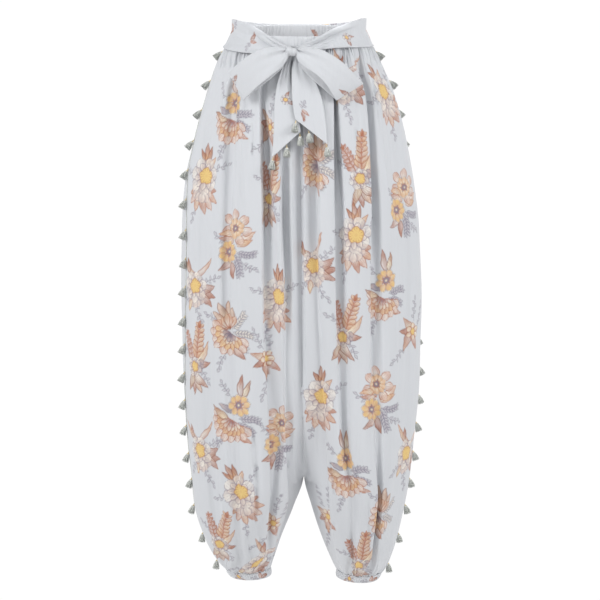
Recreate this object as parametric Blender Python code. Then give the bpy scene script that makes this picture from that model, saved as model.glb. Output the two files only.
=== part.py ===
"""Harem trousers of thin printed cloth, with elastic at waist and cuffs, a tied sash and tasselled seams.

Sizes are in millimetres and become metres only where a mesh is made. +Z is up, -Y is the front, +X is the
right of someone who looks at the front, and left and right in names are theirs. The origin is the centre of
the waist, near the top of the elastic band.
"""

from collections import namedtuple

import bmesh
import bpy
import numpy as np

MM = 0.001

# ---------------------------------------------------------------- driving sizes
WAIST_SEAM = -21.0  # where the leg panels are gathered onto the waistband
CROTCH = -790.0  # the lowest point of the seam between the legs
CUFF_SEAM = -966.0  # where the leg panels are gathered onto the cuffs
HEM = -979.5  # the cuffs' lower edge
CLOTH = 1.6  # wall of the leg panels
CASING = 2.4  # waistband and cuffs: folded cloth round an elastic
SASH_CLOTH = 1.8  # the sash is sewn double
SEAM_GAP = 0.3  # between pieces that are sewn together
TAPE_WIDTH = 1.2  # the tassel tape, edge on in the side seam
TAPE_DEPTH = 3.2
TAPE_GAP = 0.45  # a little more than the other seams have, as the tape runs at a slant
CROTCH_ROUND = 3.2  # how square the U of the centre seam is, seen from the side
SEAM_PULL = 0.45  # how far round the front the pull of the centre seam reaches, of the way to the side
PARTING_TOP, PARTING_END = -350.0, -880.0  # between these heights one body parts into two legs
CROTCH_RISE = 2.6  # how many walls high the inside corner stands over the crotch
STEEPEST = 2.5  # slope up to which a wall keeps its thickness
SMOOTH_ANGLE = 40.0  # degrees between faces up to which they are shaded as one

# ---------------------------------------------------------------- outline of the legs
# left, right: the sides' distance from the centre line; centre: the sway of the centre seam; gap: half the
# space between the legs; front, back: how far the cloth stands in front of and behind the middle;
# turn_left, turn_right: how far the side seam lies in front of the side.
Section = namedtuple("Section", "z left right centre gap front back turn_left turn_right")
SECTIONS = (
    Section(-21, -129, 126, -2, 0, 90, 94, 0, 0),
    Section(-44, -142, 138, -2, 0, 99, 106, 0, 0),
    Section(-78, -155, 154, -2, 0, 105, 117, 0, -8),
    Section(-113, -166, 167, -1, 0, 110, 125, 2, -18),
    Section(-183, -186, 186, 0, 0, 117, 133, 13, -36),
    Section(-253, -202, 200, 1, 0, 122, 136, 29, -53),
    Section(-342, -212, 211, 2, 0, 126, 137, 41, -62),
    Section(-468, -216, 217, 3, 0, 128, 135, 43, -52),
    Section(-615, -215, 215, 5, 0, 126, 131, 32, -18),
    Section(-726, -208, 206, 6, 0, 120, 123, 13, -3),
    Section(-790, -200, 199, 7, 0, 113, 115, 4, 0),
    Section(-844, -190, 191, 5, 15, 101, 102, 0, 0),
    Section(-903, -171, 178, 3, 36, 81, 81, 0, 0),
    Section(-947, -149, 162, 5, 53, 56, 56, 0, 0),
    Section(-966, -137, 151, 7, 61, 38, 38, 0, 0),
)
CUFF_DROP = {"left": 2.0, "right": 9.0}  # how much lower the outer side of each cuff hangs
SLANT_REACH = 90.0  # above the cuff, the height over which that slant dies away
HALF_STEPS = 360  # steps in which the outline is measured, from the front to the side and on to the back

# ---------------------------------------------------------------- folds of the legs
# The folds are described at these heights. places: of a trough's middle from the centre line; depths: of
# the trough; width: of the trough; steep: which of its walls is steep, towards the centre (-1), the side
# (1) or neither (0).
STATIONS = (-21.0, -100.0, -300.0, -560.0, -820.0, -966.0)
Fold = namedtuple("Fold", "width steep places depths")
FOLDS = {
    "front_left": (
        Fold(22, 1, (43, 52, 55, 54, 49, 72), (0, 9, 13, 12, 10, 4)),
        Fold(15, 0, (84, 113, 125, 127, 118, 100), (0, 8, 7, 5, 6, 4)),
        Fold(18, 0, (106, 142, 164, 167, 158, 122), (0, 4, 3, 3, 4, 3)),
    ),
    "front_right": (
        Fold(17, -1, (48, 61, 67, 73, 92, 94), (0, 15, 15, 9, 10, 5)),
        Fold(15, -1, (84, 115, 126, 128, 134, 120), (0, 13, 13, 10, 8, 5)),
        Fold(20, 0, (106, 149, 173, 178, 168, 137), (0, 5, 4, 4, 4, 3)),
    ),
    "back_left": (
        Fold(17, -1, (46, 58, 66, 70, 76, 84), (0, 12, 14, 11, 9, 5)),
        Fold(18, 1, (82, 104, 114, 118, 118, 106), (0, 10, 12, 9, 7, 4)),
        Fold(22, 0, (106, 142, 164, 166, 156, 124), (0, 5, 5, 6, 5, 3)),
    ),
    "back_right": (
        Fold(16, 1, (52, 66, 74, 78, 84, 90), (0, 11, 13, 12, 8, 5)),
        Fold(17, -1, (84, 104, 114, 120, 124, 114), (0, 8, 9, 9, 7, 4)),
        Fold(16, 0, (106, 136, 150, 158, 158, 136), (0, 4, 3, 4, 4, 3)),
    ),
}
# Each side of the centre seam lies in a trough. edge: where its outer wall stands; depths: of the trough
# there; seam: how deep the seam itself lies, the same on both sides.
Centre = namedtuple("Centre", "edges depths seam")
CENTRES = {
    "front_left": Centre((20, 27, 31, 32, 38, 62), (0, 8, 10, 9, 5, 0), (0, 5, 6, 6, 0, 0)),
    "front_right": Centre((16, 22, 29, 36, 48, 74), (0, 6, 9, 9, 6, 0), (0, 5, 6, 6, 0, 0)),
    "back_left": Centre((18, 24, 28, 30, 40, 64), (0, 6, 8, 7, 4, 0), (0, 4, 4, 4, 0, 0)),
    "back_right": Centre((22, 30, 38, 42, 50, 74), (0, 7, 9, 8, 5, 0), (0, 4, 4, 4, 0, 0)),
}
CREST_SHARE = 0.35  # of a fold's depth, how much stands outside the plain outline
STEEP_WALL, SOFT_WALL = 4.0, 10.0  # how far a fold's wall runs sideways
BULGE, BULGE_DEPTH = 1.5, 8.0  # of the cloth between two folds, and the depth of fold that has all of it
FOLDS_STAND = 5.0  # how far the crests stand out of the plain outline in front
NEAREST = 2.6  # two lines of points of a panel never come closer than this

# ---------------------------------------------------------------- gathers
PANEL_ROWS = (-21, -31, -50, -82, -125, -180, -250, -330, -415, -500, -585, -665, -725, -764, -783, -790,
              -822, -866, -910, -944, -966)
TOP_GATHERS = (1.3, 1.9, 1.0)  # height of the small gathers in the first rows, which have twice the points
HEM_GATHERS = (1.0, 1.5)  # and in the last two rows, from above
EVEN_TOP, EVEN_HEM = 60.0, 50.0  # how far from the waist and the cuffs the gathers become folds
WAIST_WAVES, CUFF_WAVES = 44, 16
BAND_WAVE, CUFF_WAVE = 0.8, 0.7

# ---------------------------------------------------------------- waistband
# The band is lower in front, where the sash pulls it down.
BAND_TOP_SIDE, BAND_TOP_DIP = 8.0, 11.0
BAND_TOP_HALF, BAND_TOP_FRONT, BAND_TOP_BACK = 114.0, 80.0, 86.0
BAND_INSET = 1.0  # how far the band stays inside the edge of the gathers
# Down a cuff: the share of its height, how much narrower it is there, and how far it has moved to the
# centre line
CUFF_ROWS = ((0.0, 0.0, 0.0), (0.5, 0.6, 1.5), (1.0, 2.4, 4.0))

# ---------------------------------------------------------------- sash
# One row for each place round the waist. angle: from the front, in degrees, to the viewer's right; top,
# bottom: of the sash there; off: how far it stands off the waistband; crease: how far its middle is pushed
# out.
SashPlace = namedtuple("SashPlace", "angle top bottom off crease")
SASH_PLACES = (
    SashPlace(-10, -18, -34, 14.0, 0.3),
    SashPlace(-15, -12, -34, 10.5, 1.2),
    SashPlace(-24, -3, -33, 6.5, 2.0),
    SashPlace(-35, 9, -31, 3.8, 1.6),
    SashPlace(-48, 19, -29, 2.8, 0.8),
    SashPlace(-62, 24, -26, 2.2, 0.3),
    SashPlace(-76, 26, -23, 2.0, 0.0),
    SashPlace(-90, 26, -20, 2.0, 0.0),
    SashPlace(-115, 24, -20, 2.0, 0.0),
    SashPlace(-145, 20, -20, 2.0, 0.0),
    SashPlace(-180, 17, -20, 2.0, 0.0),
    SashPlace(-215, 20, -20, 2.0, 0.0),
    SashPlace(-245, 25, -20, 2.0, 0.0),
    SashPlace(-270, 28, -19, 2.0, 0.0),
    SashPlace(-288, 28, -20, 2.0, 0.0),
    SashPlace(-305, 24, -21, 2.2, 0.5),
    SashPlace(-320, 17, -21, 2.8, 1.4),
    SashPlace(-332, 9, -22, 3.8, 2.2),
    SashPlace(-342, -1, -24, 6.2, 2.0),
    SashPlace(-350, -9, -28, 9.5, 1.2),
    SashPlace(-359.5, -18, -33, 14.0, 0.3),
)
SASH_OVER_GATHERS = 3.6  # how much further out its lower edge lies, over the gathers
SASH_POINTS = 57  # round the waist
RIBBON_POINTS = 5  # across the sash, a loop or a tail
KNOT_CENTRE, KNOT_SIZE = (-13.0, -113.0, -26.5), (9.8, 9.0, 8.8)
KNOT_RINGS, KNOT_TURNS, KNOT_REACH, KNOT_GROOVE = 7, 14, 66.0, 0.1

# Each loop of the bow. root and end: of the middle of its back layer; width: of the ribbon at the end;
# spread: how far in front of it the front layer stands; sag: how far the back layer hangs below the front
# one; tilt: of its end, in radians; arch: how far its middle bows upwards; slim: the share by which the lower
# half of the front layer is narrower there.
Loop = namedtuple("Loop", "root end width spread sag tilt arch slim")
LOOPS = {
    "bow_loop_left": Loop((-24.0, -113.5, -28), (-107, -107, -85), 52, 12, 2.5, -0.07, 5.0, 0.05),
    "bow_loop_right": Loop((-1.0, -116, -28), (83, -114, -94), 53, 12, 3.0, 0.35, 6.0, 0.3),
}
LOOP_ROOT_WIDTH = 14.0
LOOP_RISE = 7.0  # how far its back layer bows forward between root and end
LOOP_PLEAT, PLEAT_REACH = 1.6, 0.35  # pleats by the knot, and the share of the loop over which they die away

# Each tail. outer and inner: its two edges from the knot down, as (x, z); clear: how far it lies in front
# of the leg panels; tassels: where each hangs along its end (0 at the outer corner), and how far it leans
# right and back.
Tail = namedtuple("Tail", "outer inner clear tassels")
TAILS = {
    "sash_tail_left": Tail(
        ((-21, -38), (-32, -60), (-39, -85), (-43, -117), (-44, -160), (-47, -203)),
        ((-14, -38), (-17, -60), (-15, -85), (-8, -110), (-2, -136), (1, -160)),
        2.8,
        ((0.03, -0.12, -0.25), (0.52, 0.0, -0.25), (0.97, 0.1, 0.08)),
    ),
    "sash_tail_right": Tail(
        ((-5, -38), (15, -58), (31, -88), (40, -122), (44, -152), (46, -181)),
        ((-13, -38), (-14, -60), (-14, -85), (-13, -105), (-11, -124), (-8, -139)),
        6.2,
        ((0.98, -0.1, -0.42), (0.58, 0.08, -0.38), (0.03, 0.12, -0.2)),
    ),
}
TAIL_FORWARD = 2.5  # how much further forward its end lies
TAIL_ROWS = 11
TAIL_RIPPLE = 0.8
LEAST_FORWARD = 103.0  # a tail comes forward over the sash before it falls

# ---------------------------------------------------------------- tassels
TASSEL_STEP = 51.3  # along the height of the side seam
FIRST_TASSEL = -27.0
SEAM_TASSELS = 19
LOCKS = 5
# distance from the root, and radius there
TASSEL_RINGS = ((0.0, 0.7), (4.0, 2.0), (6.2, 1.3))
TASSEL_LENGTH, TASSEL_RADIUS = 21.5, 6.8
LOCK_SHARE = 0.8  # how much of its sector of the skirt each lock fills at its tip
LOCK_INSIDE = 0.22  # the inner edge of a lock's tip, as a share of the radius
ROOT_IN_TAPE = 1.0
TASSEL_LEAN, LEAST_HANG = 23.0, 6.0  # degrees off the cloth, and off the vertical
TAIL_TASSEL_DROP = 1.3  # how far under a tail's slanted edge the threads of its tassels start

CLOTH_COLOUR = (0.70, 0.73, 0.79, 1.0)
TASSEL_COLOUR = (0.42, 0.44, 0.42, 1.0)


# ---------------------------------------------------------------- curves
def through(x, y, at):
    """Values at `at` of the smooth curve through (x, y), with no overshoot. y may have leading rows."""
    step = np.diff(x)
    slope = np.diff(y) / step
    product = slope[..., :-1] * slope[..., 1:]
    total = slope[..., :-1] + slope[..., 1:]
    inner = np.where(product > 0, 2 * product / np.where(product > 0, total, 1), 0)
    tangent = np.concatenate([slope[..., :1], inner, slope[..., -1:]], axis=-1)
    i = np.clip(np.searchsorted(x, at, side="right") - 1, 0, len(step) - 1)
    t = (at - x[i]) / step[i]
    return (
        y[..., i] * (1 + 2 * t) * (1 - t) ** 2
        + y[..., i + 1] * t**2 * (3 - 2 * t)
        + tangent[..., i] * step[i] * t * (1 - t) ** 2
        - tangent[..., i + 1] * step[i] * t**2 * (1 - t)
    )


def column(rows, name, z):
    """A column of a table whose rows go down from the waist, read smoothly at height z."""
    heights = np.array([row.z for row in reversed(rows)], float)
    values = np.array([getattr(row, name) for row in reversed(rows)], float)
    return through(heights, values, np.asarray(z, float))


def eased(t):
    t = np.clip(t, 0, 1)
    return t * t * (3 - 2 * t)


# ---------------------------------------------------------------- the plain outline
class Outline:
    """Half of the trousers without folds, from centre front (s = 0) round the side (1) to the back (2)."""

    def __init__(self, side, z):
        z = np.asarray(z, float)[:, None]
        self.sign = -1 if side == "left" else 1
        self.edge = column(SECTIONS, side, z)
        self.centre = column(SECTIONS, "centre", z)
        self.inner = self.centre + self.sign * column(SECTIONS, "gap", z)
        self.front, self.back = column(SECTIONS, "front", z), column(SECTIONS, "back", z)
        down = np.clip((z - WAIST_SEAM) / (CROTCH - WAIST_SEAM), 0, 1)
        self.seam_reach = (1 - down**CROTCH_ROUND) ** (2 / CROTCH_ROUND)
        self.joined = 1 - eased((PARTING_TOP - z) / (PARTING_TOP - PARTING_END))  # 1: one body; 0: two legs
        self.s = np.broadcast_to(np.linspace(0, 2, 2 * HALF_STEPS + 1), (len(z), 2 * HALF_STEPS + 1))
        self.points = self.at(self.s)
        steps = np.linalg.norm(np.diff(self.points, axis=1), axis=2)
        self.arc = np.concatenate([np.zeros((len(z), 1)), np.cumsum(steps, axis=1)], axis=1)
        self.seam = self.arc[:, HALF_STEPS:HALF_STEPS + 1] - column(SECTIONS, "turn_" + side, z)

    def at(self, s):
        depth = np.where(s < 1, self.front, self.back)
        body_x = self.inner + (self.edge - self.inner) * np.sin(np.pi * s / 2)
        leg_x = self.inner + (self.edge - self.inner) * (1 - np.cos(np.pi * s)) / 2
        near_seam = np.clip(1 - np.minimum(s, 2 - s) / SEAM_PULL, 0, 1) ** 2
        body_reach = self.joined + (self.seam_reach - self.joined) * near_seam
        reach = body_reach * np.cos(np.pi * s / 2) ** 2 + (1 - self.joined) * np.sin(np.pi * s) ** 2
        y = np.where(s < 1, -1, 1) * depth * np.sqrt(reach)
        return np.stack([leg_x + (body_x - leg_x) * self.joined, y], axis=-1)

    def along(self, arc):
        """Points at distances `arc` from centre front, and the outward normals there."""
        s = np.array([np.interp(a, row, self.s[0]) for a, row in zip(arc, self.arc)])
        ahead = self.at(np.minimum(s + 1e-3, 2)) - self.at(np.maximum(s - 1e-3, 0))
        ahead /= np.linalg.norm(ahead, axis=-1, keepdims=True)
        normal = np.stack([ahead[..., 1], -ahead[..., 0]], axis=-1) * self.sign
        return self.at(s), normal

    def arc_at(self, x, front):
        """For each height, how far round from the centre seam the outline is `x` from the centre line."""
        found = []
        for row, arc, points, centre in zip(x, self.arc, self.points, self.centre):
            half = slice(0, HALF_STEPS + 1) if front else slice(2 * HALF_STEPS, HALF_STEPS - 1, -1)
            travelled = arc[half] if front else arc[-1] - arc[half]
            found.append(np.interp(row, np.abs(points[half, 0] - centre), travelled))
        return np.array(found)


# ---------------------------------------------------------------- leg panels
def by_height(values, z):
    """A row of a fold table, given at the stations, read smoothly at heights z."""
    return through(np.array(STATIONS[::-1]), np.array(values[::-1], float), np.asarray(z, float))[:, None]


def fold_lines(panel, z):
    """At each height, how far round each line of points is, and how high it stands off the outline."""
    face, side = panel.split("_")
    front = face == "front"
    outline = Outline(side, z)
    end = outline.seam if front else outline.arc[:, -1:] - outline.seam
    end = end - TAPE_WIDTH / 2 - TAPE_GAP
    start = np.full_like(end, SEAM_GAP / 2)

    def reach(x):
        return outline.arc_at(x, front)

    centre = CENTRES[panel]
    edge, depth = by_height(centre.edges, z), by_height(centre.depths, z)
    seam = by_height(centre.seam, z) * eased((np.asarray(z, float) - CROTCH - 20) / 120)[:, None]
    floor = (CREST_SHARE - 1) * depth
    floor_end = reach(edge - STEEP_WALL)
    lines = [start, floor_end * 0.36, floor_end * 0.7, floor_end, reach(edge)]
    heights = [-seam, (floor - seam) / 2, floor, floor, CREST_SHARE * depth]
    for fold in FOLDS[panel]:
        middle, depth = by_height(fold.places, z), by_height(fold.depths, z)
        inner_wall = STEEP_WALL if fold.steep < 0 else SOFT_WALL
        outer_wall = STEEP_WALL if fold.steep > 0 else SOFT_WALL
        corners = (-fold.width / 2 - inner_wall / 2, -fold.width / 2 + inner_wall / 2,
                   fold.width / 2 - outer_wall / 2, fold.width / 2 + outer_wall / 2)
        crest, floor = CREST_SHARE * depth, (CREST_SHARE - 1) * depth
        spots = [reach(middle + corner) for corner in corners]
        lines.append((lines[-1] + spots[0]) / 2)
        heights.append(np.maximum(heights[-1], crest) + BULGE * eased(depth / BULGE_DEPTH))
        lines += spots
        heights += [crest, floor, floor, crest]
    for share in (0.36, 0.7):
        lines.append(spots[-1] + (end - spots[-1]) * share)
        heights.append(crest * (1 - share))
    lines.append(end)
    heights.append(np.zeros_like(end))
    return spread_out(np.concatenate(lines, axis=1), start, end, z), np.concatenate(heights, axis=1), outline


def spread_out(arc, start, end, z):
    """Lines of points spaced evenly at the waist and the cuffs, and nowhere closer than NEAREST."""
    z = np.asarray(z, float)[:, None]
    even = start + (end - start) * np.linspace(0, 1, arc.shape[1])
    near_waist = eased((z - WAIST_SEAM + EVEN_TOP) / EVEN_TOP)
    near_cuff = eased((CUFF_SEAM + EVEN_HEM - z) / EVEN_HEM)
    arc = arc + (even - arc) * np.maximum(near_waist, near_cuff)
    for j in range(1, arc.shape[1]):
        arc[:, j] = np.maximum(arc[:, j], arc[:, j - 1] + NEAREST)
    arc[:, -1:] = end
    for j in range(arc.shape[1] - 2, -1, -1):
        arc[:, j] = np.minimum(arc[:, j], arc[:, j + 1] - NEAREST)
    arc[:, :1] = start
    return arc


def cloth_places(panel):
    """How far across the cloth each line of points is, 0 at the centre seam to 1 at the side."""
    arc, height, _ = fold_lines(panel, [STATIONS[2]])
    steps = np.hypot(np.diff(arc[0]), np.diff(height[0]))
    return np.concatenate([[0], np.cumsum(steps)]) / steps.sum()


def panel_points(panel, z, cloth=None):
    """(points, normals) of a panel's outer face at heights z, on its lines or at places across the cloth."""
    arc, height, outline = fold_lines(panel, z)
    if cloth is not None:
        lines = cloth_places(panel)
        arc, height = through(lines, arc, cloth), through(lines, height, cloth)
    if panel.startswith("back"):
        arc = outline.arc[:, -1:] - arc
    points, normals = outline.along(arc)
    return points + normals * height[..., None], normals


def corner_normals(points, normals):
    """Ways in which a row's corners move so that the walls beside them keep their thickness."""
    along = np.diff(points, axis=0)
    along /= np.linalg.norm(along, axis=1, keepdims=True)
    across = np.stack([along[:, 1], -along[:, 0]], axis=1)
    across *= np.sign((across * (normals[1:] + normals[:-1])).sum())
    before = np.concatenate([across[:1], across])
    after = np.concatenate([across, across[-1:]])
    return (before + after) / np.maximum(1 + (before * after).sum(1, keepdims=True), 0.5)


def leg_panel(panel):
    """The outer and inner rows of points of a panel's wall."""
    face, side = panel.split("_")
    sign = -1 if side == "left" else 1
    outward_y = -1 if face == "front" else 1
    rows = np.array(PANEL_ROWS, float)
    lines = cloth_places(panel)
    doubled = np.sort(np.concatenate([lines, (lines[1:] + lines[:-1]) / 2]))
    centre = column(SECTIONS, "centre", rows)
    plain, plain_normals = panel_points(panel, rows)
    plain[:, 0] = seam_points(plain[:, 0], rows, centre, sign, outward_y)
    slope = (np.gradient(plain, rows, axis=0) * plain_normals).sum(-1)
    seam_slope = np.where(rows > CROTCH, np.gradient(plain[:, 0, 1], rows) * outward_y,
                          -np.gradient(plain[:, 0, 0], rows) * sign)
    outer, inner = [], []
    for i, z in enumerate(rows):
        from_hem = len(rows) - 1 - i
        twice = i < len(TOP_GATHERS)
        points, normals = (found[0] for found in panel_points(panel, [z], doubled if twice else None))
        wave = TOP_GATHERS[i] if twice else HEM_GATHERS[1 - from_hem] if from_hem < 2 else 0
        zigzag = wave * np.where(np.arange(len(points)) % 2 == 0, 1.0, -1.0)
        zigzag[[0, -1]] = 0
        points = points + normals * zigzag[:, None]
        points[0] = seam_points(points[:1], [z], centre[i:i + 1], sign, outward_y)[0]
        fall = np.interp(doubled, lines, slope[i]) if twice else slope[i].copy()
        fall = np.clip(fall, -STEEPEST, STEEPEST)
        ways = corner_normals(points, normals)
        ways[-1] = normals[-1]
        ways[0] = (0.0, outward_y) if z > CROTCH else (-sign, 0.0)
        fall[0] = seam_slope[i]
        level = 1 / np.sqrt(1 + fall**2)
        if i == 0 or from_hem == 0:
            shift = np.concatenate([ways / level[:, None], np.zeros((len(ways), 1))], axis=1)
        else:
            shift = np.concatenate([ways * level[:, None], (-fall * level)[:, None]], axis=1)
        if z == CROTCH:
            shift[0] = (0.0, 0.0, -CROTCH_RISE)
        placed = np.concatenate([points, np.full((len(points), 1), z)], axis=1)
        outer.append(hung(side, placed))
        inner.append(hung(side, placed - shift * CLOTH))
    return outer, inner


def seam_points(points, z, centre, sign, outward_y):
    """The first line of a panel, moved to its side of the centre seam or, below the crotch, of the inseam."""
    z = np.asarray(z, float)
    x = np.where(z >= CROTCH, centre + sign * SEAM_GAP / 2, points[:, 0])
    y = np.where(z <= CROTCH, outward_y * SEAM_GAP / 2, points[:, 1])
    return np.stack([x, y], axis=1)


def hung(side, points):
    """Points let down towards the outer side near the cuff, which hangs at a slant."""
    centre = column(SECTIONS, "centre", points[..., 2])
    share = (points[..., 0] - centre) / (column(SECTIONS, side, points[..., 2]) - centre)
    drop = CUFF_DROP[side] * share * eased((CUFF_SEAM + SLANT_REACH - points[..., 2]) / SLANT_REACH)
    return points - np.stack([np.zeros_like(drop), np.zeros_like(drop), drop], axis=-1)


# ---------------------------------------------------------------- solids
def stitched(a, b):
    """Triangles between two rows of point numbers. One may have twice the spaces of the other."""
    if len(a) == len(b):
        return [t for j in range(len(a) - 1)
                for t in ((a[j], a[j + 1], b[j + 1]), (a[j], b[j + 1], b[j]))]
    if len(a) > len(b):
        return [t[::-1] for t in stitched(b, a)]
    return [t for j in range(len(a) - 1)
            for t in ((a[j], b[2 * j + 1], b[2 * j]), (a[j], a[j + 1], b[2 * j + 1]),
                      (a[j + 1], b[2 * j + 2], b[2 * j + 1]))]


def add_object(name, points, faces, colour):
    """A mesh object from points in millimetres, with its faces turned outwards."""
    bm = bmesh.new()
    corners = [bm.verts.new(p) for p in np.asarray(points, float) * MM]
    for face in faces:
        bm.faces.new([corners[i] for i in face])
    bmesh.ops.recalc_face_normals(bm, faces=bm.faces)
    mesh = bpy.data.meshes.new(name)
    bm.to_mesh(mesh)
    bm.free()
    mesh.shade_smooth()
    mesh.set_sharp_from_angle(angle=np.radians(SMOOTH_ANGLE))
    mesh.materials.append(material(name, colour))
    made = bpy.data.objects.new(name, mesh)
    bpy.context.scene.collection.objects.link(made)
    return made


def material(name, colour):
    made = bpy.data.materials.new(name)
    made.use_nodes = True
    shader = made.node_tree.nodes["Principled BSDF"]
    shader.inputs["Base Color"].default_value = colour
    shader.inputs["Roughness"].default_value = 0.85
    return made


def wall(name, outer, inner, closed=False):
    """A solid between two faces, each a list of rows of points. Closed rows run round a ring."""
    points, numbers = [], []
    for rows in (outer, inner):
        numbered = []
        for row in rows:
            ids = list(range(len(points), len(points) + len(row)))
            points.extend(row)
            numbered.append(ids + ids[:1] if closed else ids)
        numbers.append(numbered)
    outside, inside = numbers
    faces = []
    for face, turned in ((outside, False), (inside, True)):
        for a, b in zip(face, face[1:]):
            made = stitched(a, b)
            faces += [t[::-1] for t in made] if turned else made
    rims = [(outside[0], inside[0]), (outside[-1], inside[-1])]
    if not closed:
        for end in (0, -1):
            rims.append(([row[end] for row in outside], [row[end] for row in inside]))
    for a, b in rims:
        faces += stitched(a, b)
    add_object(name, points, faces, CLOTH_COLOUR)


def sheet_wall(name, grid, thickness):
    """A solid of even thickness round a sheet given as a grid of points."""
    normal = np.cross(np.gradient(grid, axis=1), np.gradient(grid, axis=0))
    offset = normal / np.linalg.norm(normal, axis=2, keepdims=True) * thickness / 2
    wall(name, list(grid + offset), list(grid - offset))


# ---------------------------------------------------------------- waistband and cuffs
def oval(half, front, back, angle):
    """A point on the oval of a band, at an angle in radians from the front towards the viewer's right."""
    return half * np.sin(angle), -np.where(np.cos(angle) > 0, front, back) * np.cos(angle)


def band_top(angle):
    return BAND_TOP_SIDE - BAND_TOP_DIP * np.cos(angle)


def round_waist(z, angle, out):
    """Points round the waist at heights z, `out` from the outline of the band or, below it, of the legs."""
    up = np.clip((z - WAIST_SEAM) / (band_top(angle) - WAIST_SEAM), 0, 1)
    below = np.minimum(z, WAIST_SEAM)
    left, right = column(SECTIONS, "left", below), column(SECTIONS, "right", below)
    half = (right - left) / 2
    half = half + (BAND_TOP_HALF - half) * up
    front, back = column(SECTIONS, "front", below), column(SECTIONS, "back", below)
    front, back = front + (BAND_TOP_FRONT - front) * up, back + (BAND_TOP_BACK - back) * up
    x, y = oval(half + out, front + out, back + out, angle)
    return np.stack([x + (left + right) / 2, y, z], axis=-1)


def make_waistband():
    angle = np.arange(2 * WAIST_WAVES) * np.pi / WAIST_WAVES
    wave = BAND_WAVE * np.where(np.arange(2 * WAIST_WAVES) % 2 == 0, 1, -1)
    base = WAIST_SEAM + SEAM_GAP
    rows = {"outer": [], "inner": []}
    for share in (0.0, 0.5, 1.0):
        z = base + (band_top(angle) - base) * share
        for name, inset in (("outer", 0.0), ("inner", CASING)):
            rows[name].append(round_waist(z, angle, wave - BAND_INSET - inset))
    wall("waistband", rows["outer"], rows["inner"], closed=True)


def make_cuff(side):
    """An elastic ring below the gathered end of the leg."""
    foot = SECTIONS[-1]
    sign = -1 if side == "left" else 1
    edge, inner_edge = getattr(foot, side), foot.centre + sign * foot.gap
    middle, half = (edge + inner_edge) / 2, abs(edge - inner_edge) / 2
    angle = np.arange(2 * CUFF_WAVES) * np.pi / CUFF_WAVES
    wave = CUFF_WAVE * np.where(np.arange(2 * CUFF_WAVES) % 2 == 0, 1, -1)
    rows = {"outer": [], "inner": []}
    for share, shrink, shift in CUFF_ROWS:
        z = CUFF_SEAM - SEAM_GAP + (HEM - CUFF_SEAM + SEAM_GAP) * share
        for name, inset in (("outer", 0.0), ("inner", CASING)):
            out = wave - shrink - inset
            x, y = oval(half + out, foot.front + out, foot.back + out, angle)
            across = (x * sign + half) / (2 * half)
            drop = CUFF_DROP[side] * (inner_share(side) + (1 - inner_share(side)) * across)
            points = np.stack([middle + x - sign * shift, y, z - drop], axis=1)
            rows[name].append(points)
    wall("cuff_" + side, rows["outer"], rows["inner"], closed=True)


def inner_share(side):
    """How far out the inseam is at the cuff, as a share of the way from the centre line to the outer side."""
    foot = SECTIONS[-1]
    return foot.gap / abs(getattr(foot, side) - foot.centre)


# ---------------------------------------------------------------- sash
def make_sash():
    """The sash round the waist, from one side of the knot to the other."""
    table = np.array([list(place) for place in reversed(SASH_PLACES)], float)
    angles = np.linspace(table[0, 0], table[-1, 0], SASH_POINTS)
    top, bottom, off, crease = (through(table[:, 0], table[:, k], angles) for k in range(1, 5))
    grid = []
    for share in np.linspace(0, 1, RIBBON_POINTS):
        z = top + (bottom - top) * share
        over_gathers = SASH_OVER_GATHERS * eased((WAIST_SEAM + 6 - z) / 9)
        out = off + np.sin(3 * np.pi * share) * crease + over_gathers
        grid.append(round_waist(z, np.radians(angles), out))
    sheet_wall("sash_band", np.array(grid), SASH_CLOTH)


def make_knot():
    """The wrapped knot: a rounded lump with a groove either side of the turn that holds it."""
    turns = np.linspace(0, 2 * np.pi, KNOT_TURNS, endpoint=False)
    points, faces = [], []
    rings = np.radians(np.linspace(-KNOT_REACH, KNOT_REACH, KNOT_RINGS))
    for lift in rings:
        groove = 1 - KNOT_GROOVE * np.cos(4 * lift) * (abs(lift) < 1)
        radius = np.cos(lift) * groove
        for turn in turns:
            points.append([np.sin(lift) * KNOT_SIZE[0], -np.cos(turn) * radius * KNOT_SIZE[1],
                           np.sin(turn) * radius * KNOT_SIZE[2]])
    count = len(turns)
    for i in range(len(rings) - 1):
        for j in range(count):
            k = (j + 1) % count
            faces.append((i * count + j, i * count + k, (i + 1) * count + k, (i + 1) * count + j))
    faces += [tuple(range(count)), tuple(range(len(points) - count, len(points)))]
    add_object("sash_knot", np.array(points) + KNOT_CENTRE, faces, CLOTH_COLOUR)


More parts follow.
